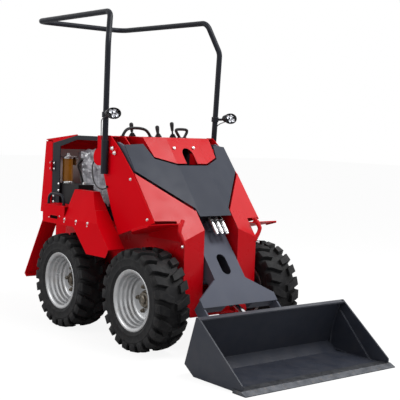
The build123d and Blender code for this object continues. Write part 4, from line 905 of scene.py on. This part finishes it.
for y, top in LEVERS:
    foot, head = at(LEVER_FOOT_X, y, CONSOLE_Z), at(LEVER_HEAD_X, y, top)
    lean = (head - foot).normalized()
    bent_tube(controls, [foot, foot.lerp(head, 0.5), head - lean * ROD_SHORT], 0.0052, 12, 1)
    turned(controls, KNOB, frame_along(head - lean * KNOB_LENGTH, lean), 24)
    turned_at(controls, BOOT, (LEVER_FOOT_X, y, CONSOLE_Z), (-0.1, 0, 1), 28)
for line in GRABS:
    bent_tube(controls, [at(GRAB_X, y, z) for y, z in line], 0.0088, 14, 2)
for y in GRAB_FEET:
    turned_at(controls, FOOT_RING, (GRAB_X, y, CONSOLE_Z), UP, 24)
thing = piece("levers_and_grabs", controls, black_plastic)
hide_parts("hand_controls")
print("levers:", len(LEVERS), "grab handles:", len(GRABS))

# %% [markdown]
# ## Operator seat
# The seat is still wrapped in clear film. Underneath are a thick cushion and a low backrest of
# padded vinyl. Cloth simulation swells each pad from a plain block, the way foam pushes its
# cover out between the seams; the film is the same surface with sharp wandering creases.

# %% Padding by cloth simulation
PAD_VOXEL = 0.008
PAD_CUTS, PAD_CROWN = 5, 0.16
PAD_FRAMES, PAD_PRESSURE, PAD_CAP = 20, 4.0, 0.014
CREASE_DEPTH, CREASE_GRAIN = 0.01, 12
CREASE_STRETCH = 0.3  # creases run up and down, so they change slowly that way
FINE_GRAIN, FINE_SHIFT, FINE_SHARE = 2.7, Vector((7, 3, 1)), 0.35
FILM_SINK = 0.5  # of the depth, so the film lies as much inside the pad as outside


def crowned_block(size, matrix):
    mesh = bmesh.new()
    bmesh.ops.create_cube(mesh, size=1.0)
    bmesh.ops.subdivide_edges(mesh, edges=mesh.edges[:], cuts=PAD_CUTS, use_grid_fill=True)
    for v in mesh.verts:
        p = v.co * 2
        thin = 1 - PAD_CROWN * max(abs(p.x), abs(p.y)) ** 4
        v.co = Vector((v.co.x * size[0], v.co.y * size[1], v.co.z * size[2] * thin))
    mesh.transform(matrix)
    return mesh


def applied(thing):
    """Bakes an object's modifiers into its mesh."""
    seen = thing.evaluated_get(bpy.context.evaluated_depsgraph_get())
    done = bpy.data.meshes.new_from_object(seen)
    thing.modifiers.clear()
    old, thing.data = thing.data, done
    bpy.data.meshes.remove(old)


def plump(thing):
    """Swells a closed mesh with Blender's cloth; no point moves further than the cap."""
    start = [v.co.copy() for v in thing.data.vertices]
    cloth = thing.modifiers.new("padding", "CLOTH")
    cloth.settings.use_pressure = True
    cloth.settings.uniform_pressure_force = PAD_PRESSURE
    cloth.settings.effector_weights.gravity = 0
    cloth.point_cache.frame_start, cloth.point_cache.frame_end = 1, PAD_FRAMES
    for number in range(1, PAD_FRAMES + 1):
        bpy.context.scene.frame_set(number)
    applied(thing)
    for v, was in zip(thing.data.vertices, start):
        move = v.co - was
        if move.length > PAD_CAP:
            v.co = was + move.normalized() * PAD_CAP
    bpy.context.scene.frame_set(1)


def crumple(thing):
    """Sharp wandering creases, as stiff film has."""
    normals = [v.normal.copy() for v in thing.data.vertices]
    for v, normal in zip(thing.data.vertices, normals):
        x, y, z = (value * CREASE_GRAIN for value in v.co)
        spot = Vector((x, y, z * CREASE_STRETCH))
        ridge = 1 - abs(noise.noise(spot)) * 2.2
        fine = 1 - abs(noise.noise(spot * FINE_GRAIN + FINE_SHIFT)) * 2
        height = max(ridge, 0) ** 3 + FINE_SHARE * max(fine, 0) ** 2 - FILM_SINK
        v.co += normal * CREASE_DEPTH * height


def pad(name, size, place, lean):
    matrix = Matrix.Translation(at(*place)) @ Matrix.Rotation(radians(lean), 4, "Y")
    thing = piece(name, crowned_block(size, matrix), film, sharp=75)
    skin = thing.modifiers.new("skin", "REMESH")
    skin.mode, skin.voxel_size = "VOXEL", PAD_VOXEL
    applied(thing)
    plump(thing)
    finer = thing.modifiers.new("finer", "SUBSURF")
    finer.levels = finer.render_levels = 1
    applied(thing)
    crumple(thing)
    thing.data.shade_smooth()
    if not thing.data.materials:
        thing.data.materials.append(film)
    return thing


cushion = pad("seat_cushion", (0.3, 0.47, 0.075), (-798, 0, 800), 7.6)
backrest = pad("seat_backrest", (0.046, 0.47, 0.285), (-1003, 0, 955), -13.9)
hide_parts("operator_seat")
seat_box = bmesh.new()
plate_between(seat_box, (-925, -165, 647), (-695, 165, 752))
plate_between(seat_box, (-940, -185, 752), (-680, 185, 757))
piece("seat_box", seat_box, black_paint)
print("pad faces:", len(cushion.data.polygons), len(backrest.data.polygons))

# %% [markdown]
# ## Engine bay fittings
# Through the side opening one sees an amber canister under a plated bracket, a black battery
# box, a black lever and one black cable that hangs in a bow. These are small turned and bent
# pieces, which end on what carries them.

# %% Canister, battery, lever and cable
CANISTER = (-995, -322)
CANISTER_CAP = ((0.018, 0), (0.018, 0.006), (0.012, 0.008), (0.012, 0.02), (0.0085, 0.022),
                (0, 0.022))
TOP_BAND = ((0.0345, 0), (0.0345, 0.007), (0.033, 0.009))
FOOT_BAND = ((0.0345, 0), (0.0345, 0.009), (0.033, 0.011))
TERMINAL = ((0.011, 0), (0.0105, 0.014), (0.0085, 0.016), (0, 0.016))
BAY_LEVER = ((-838, -300, 866), (-836, -322, 930), (-825, -352, 986), (-806, -356, 1000))
BAY_LEVER_GRIP = ((0.007, 0), (0.0095, 0.004), (0.0105, 0.03), (0.009, 0.05), (0, 0.055))
BAY_CABLE = ((-474, -338, 1085), (-540, -342, 1080), (-615, -350, 1050), (-640, -362, 1005),
             (-622, -376, 975), (-606, -383, 952), (-588, -386, 900), (-545, -388, 872),
             (-500, -390, 862), (-455, -391, 866), (-430, -391, 878))
CABLE_END = ((0.0075, 0), (0.0075, 0.004), (0.006, 0.006), (0.006, 0.014), (0, 0.015))
fittings = bmesh.new()
plate_between(fittings, (-1036, -362, 1031), (-950, -284, 1035))
plate_between(fittings, (-1036, -286, 980), (-950, -283, 1035))
for profile, z, segments in ((CANISTER_CAP, 1035, 24), (TOP_BAND, 1022, 40), (FOOT_BAND, 867, 40)):
    turned_at(fittings, profile, (*CANISTER, z), UP, segments)
for x in (-1010, -830):
    turned_at(fittings, TERMINAL, (x, -300, 866), UP, 20)
piece("bay_fittings", fittings, plated_steel)
lever = bmesh.new()
bent_tube(lever, places(BAY_LEVER), 0.006)
turned_at(lever, BAY_LEVER_GRIP, (-808, -356, 998), (0.78, 0, 0.55), 20)
piece("bay_lever", lever, black_plastic)
cable = bmesh.new()
bent_tube(cable, places(BAY_CABLE), 0.0042, 10)
turned_at(cable, CABLE_END, (-430, -396, 880), (0, 1, 0), 18)
piece("bay_cable", cable, hose_rubber)
print("bay pieces: 3")

# %% [markdown]
# ## Hydraulic couplers and hoses
# Three flat-faced couplers lie on the arm under the end of the cover, each with a grooved
# sleeve and a black hose crimped on behind. One turned profile is repeated three times.

# %% Couplers
COUPLER_START = (45, 731)  # x, z
COUPLER_ROWS = (-2, 36, 74)  # y
ARM_RUN = Vector((0.6405, 0, -0.7679))
COUPLER = (
    (0, -0.004), (0.0105, -0.004), (0.0105, 0.008), (0.0142, 0.01), (0.0142, 0.022),
    (0.0118, 0.024), (0.0118, 0.03), (0.0148, 0.032), (0.0148, 0.068), (0.0132, 0.07),
    (0.0132, 0.076), (0.0148, 0.078), (0.0148, 0.104), (0.0112, 0.106), (0.0112, 0.115),
    (0, 0.115),
)
HOSE_WAY = (  # distance back along the arm, and the way the hose then drops off it
    (0, Vector((0, 0, 0))), (0.03, Vector((0, 0, 0))), (0.075, Vector((-0.012, 0, -0.004))),
    (0.11, Vector((-0.05, 0, -0.03))),
)
steel_part, hose_part = bmesh.new(), bmesh.new()
for y in COUPLER_ROWS:
    start = at(COUPLER_START[0], y, COUPLER_START[1])
    turned(steel_part, COUPLER, frame_along(start, ARM_RUN), 40)
    way = [start - ARM_RUN * back + drop for back, drop in HOSE_WAY]
    bent_tube(hose_part, way, 0.0095, 14, 2)
thing = piece("dressed_couplers", steel_part, plated_steel, "boom", 30)
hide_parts("quick_couplers")
piece("coupler_hoses", hose_part, hose_rubber, "boom")
print("couplers:", len(COUPLER_ROWS))

# %% [markdown]
# ## Bolts and small fixings
# Plated bolts are the bright points that show the scale of a machine. A table says what
# carries each one, where it sits and which way it looks, and one helper makes them all.

# %% Bolts
FLANGE = ((0, 0), (1.35, 0), (1.35, 0.12), (1.1, 0.3), (0, 0.3))  # in sizes of the bolt
HEAD_FOOT, HEAD_THICK = 0.28, 0.55
DOME = ((0.8, 0.82), (0.7, 0.92), (0, 0.95))
BONNET_OUT = (0.777, 0, 0.629)
SIDE_BOLTS = (  # x, distance from the middle, z, size
    (-201, 388, 937, 0.007), (-27, 388, 724, 0.007), (-382, 396, 1106, 0.0095),
    (-358, 396, 1080, 0.0095), (-720, 500, 666, 0.0065), (-589, 500, 666, 0.0065),
    (-462, 500, 666, 0.0065), (-726, 500, 648, 0.0035), (-594, 500, 648, 0.0035),
    (-467, 500, 648, 0.0035), (-906, 500, 662, 0.0035), (-780, 500, 677, 0.0035),
)
HINGE_BOLTS = (("chassis", -1056), ("rear_door", -1099))
BOLTS = [  # body, place, direction, size
    ("chassis", (-198, -87, 1119), BONNET_OUT, 0.0075),
    ("chassis", (-201, 58, 1123), BONNET_OUT, 0.0075),
    ("chassis", (-1000, -383, 861), (0, -1, 0), 0.006),
    ("chassis", (-1000, -383, 819), (0, -1, 0), 0.006),
]
for _, sign in HANDS:
    BOLTS += [("chassis", (x, sign * y, z), (0, sign, 0), size) for x, y, z, size in SIDE_BOLTS]
    BOLTS.append(("chassis", (156.5, sign * 281, 590), (1, 0, 0), 0.006))
for z in (762, 971):
    for step in (-18, 18):
        BOLTS += [(body, (x, -386, z + step), (0, -1, 0), 0.006) for body, x in HINGE_BOLTS]


def bolt_head(mesh, place, direction, size):
    """A flanged hexagon head with a slightly domed top."""
    matrix = frame_along(place, direction)
    turned(mesh, [(size * radius, size * height) for radius, height in FLANGE], matrix, 20)
    hexagon(mesh, matrix, size, size * HEAD_FOOT, size * HEAD_THICK)
    turned(mesh, [(size * radius, size * height) for radius, height in DOME], matrix, 20)


for body in ("chassis", "rear_door"):
    mesh = bmesh.new()
    for carrier, place, direction, size in BOLTS:
        if carrier == body:
            bolt_head(mesh, at(*place), direction, size)
    piece(f"bolts_{body}", mesh, bright_zinc, body, 25)
print("bolts:", len(BOLTS))

# %% [markdown]
# ## Tie-down loops
# A bent bar is welded to the outer edge of each front tower, for a lashing strap. It's a tube
# along four points, with its bends cut round.

# %% Tie-down loops
LOOP_TOP, LOOP_OUT, LOOP_LOW = (130, 261, 732), (149, 303, 669), (146, 261, 598)
LOOP_RADIUS = 0.0112
for hand, sign in HANDS:
    top, outer, low = (Vector((x, sign * y, z)) for x, y, z in (LOOP_TOP, LOOP_OUT, LOOP_LOW))
    line = [top, top.lerp(outer, 0.82), outer.lerp(low, 0.18), low]
    loop = bmesh.new()
    bent_tube(loop, [at(*p) for p in line], LOOP_RADIUS, 16, 3)
    piece(f"tie_loop_{hand}", loop, red_paint)
print("loops:", len(HANDS))

# %% [markdown]
# ## Pins, slots and beads
# Pin ends are turned caps. The long oval hole in each rear fender is cut for a strap; from
# outside it's a dark oval with a pressed rim. Here the oval is a thin black sheet of painted
# shadow, where the hole's dark inside would be. Weld beads close the bucket's corners: a thin
# tube laid into each corner reads as a bead.

# %% Pin caps, fender slots and weld beads
PINS = (  # name, place on the left, radius
    ("boom", (-377, 371, 1093), 0.019), ("fork", (455, 270, 130), 0.021),
)
SLOT_PLACE = (-846, 499.5, 668)
BEAD_LINE = ((606, 507.5, 296), (530, 507.5, 58), (598, 507.5, 14.5), (895, 507.5, 14.5))


def cap_profile(radius):
    return ((0, 0), (radius, 0), (radius, 0.0035), (radius - 0.0015, 0.005),
            (radius * 0.35, 0.005), (radius * 0.3, 0.0065), (0, 0.0068))


def oval(half_long, half_high, count=16):
    ends = []
    for side in (1, -1):
        for i in range(count + 1):
            turn = side * pi / 2 - pi * i / count
            x = side * (half_long - half_high) + half_high * cos(turn)
            ends.append((x, half_high * sin(turn)))
    return ends


for name, (x, y, z), radius in PINS:
    for hand, sign in HANDS:
        cap = bmesh.new()
        turned_at(cap, cap_profile(radius), (x, sign * y, z), (0, sign, 0), 36)
        piece(f"pin_cap_{name}_{hand}", cap, plated_steel, "boom")
for hand, sign in HANDS:
    spot = framed(places([SLOT_PLACE], sign)[0], (1, 0, 0), UP, (0, sign, 0))
    # a thin black oval of painted shadow stands for the inside of the slot
    hole = bmesh.new()
    slab(hole, oval(0.046, 0.009), spot, 0.0012)
    piece(f"fender_slot_{hand}", hole, painted_shadow_black)
    outline = [spot @ Vector((x, y, 0.001)) for x, y in oval(0.0485, 0.0115)]
    lip = bmesh.new()
    bent_tube(lip, outline + outline[:1], 0.0022, 8, 0)
    piece(f"fender_slot_lip_{hand}", lip, red_satin)
beads = bmesh.new()
for _, sign in HANDS:
    bent_tube(beads, places(BEAD_LINE, sign), 0.0032, 8, 1)
piece("bucket_weld_beads", beads, bucket_paint, "bucket")
print("pins: 4, slots: 2, beads: 2")

# %% [markdown]
# ## Rear door
# A door behind an engine has pressed louvres to let the heat out, and a latch. A louvre is one
# bent strip, so its section is drawn once and raised along its length. A flat inner sheet in
# grey primer is seen through the side opening.

# %% Rear door's louvres, latch and inner sheet
DOOR_FOOT, DOOR_LEAN = (-1222, 668), 0.12  # x and z on the outer sheet, and how far it leans
DOOR_RUN = Vector((-DOOR_LEAN, 0, -1)).normalized()
DOOR_OUT = Vector((-1, 0, DOOR_LEAN)).normalized()
LOUVRE = ((0, 0), (0.005, 0.001), (0.009, 0.005), (0.012, 0.0085), (0.0135, 0.0085), (0.0135, 0))
LOUVRE_LENGTH, LOUVRE_SINK = 0.18, 0.0005
LOUVRE_COLUMNS, LOUVRE_ROWS = (-150, 150), range(760, 1000, 34)
LATCH_DISC = ((0.026, -0.001), (0.026, 0.003), (0.023, 0.0045), (0, 0.0045))
LATCH_GRIP = ((-0.005, -0.022), (0.005, -0.022), (0.0035, 0.022), (-0.0035, 0.022))
SHEET = ((0, -0.36), (0.385, -0.36), (0.385, 0.36), (0, 0.36))


def door_place(y, z):
    """A place on the door's outer sheet."""
    return at(DOOR_FOOT[0] + (z - DOOR_FOOT[1]) * DOOR_LEAN, y, z)


louvres = bmesh.new()
section = [(run, out - LOUVRE_SINK) for run, out in LOUVRE]
for y in LOUVRE_COLUMNS:
    for z in LOUVRE_ROWS:
        matrix = framed(door_place(y - 90, z), DOOR_RUN, DOOR_OUT, SIDEWAYS)
        slab(louvres, section, matrix, LOUVRE_LENGTH)
piece("door_louvres", louvres, red_satin, "rear_door")
latch = bmesh.new()
spot = frame_along(door_place(330, 900), DOOR_OUT)
turned(latch, LATCH_DISC, spot, 40)
slab(latch, LATCH_GRIP, raised(spot, 0.004), 0.012)
piece("door_latch", latch, black_plastic, "rear_door")
inside = framed(door_place(0, 695), -DOOR_RUN, SIDEWAYS, DOOR_OUT)
sheet = bmesh.new()
slab(sheet, SHEET, raised(inside, -0.014), 0.006)
piece("door_inner_sheet", sheet, grey_primer, "rear_door")
print("louvres:", len(LOUVRE_COLUMNS) * len(LOUVRE_ROWS))
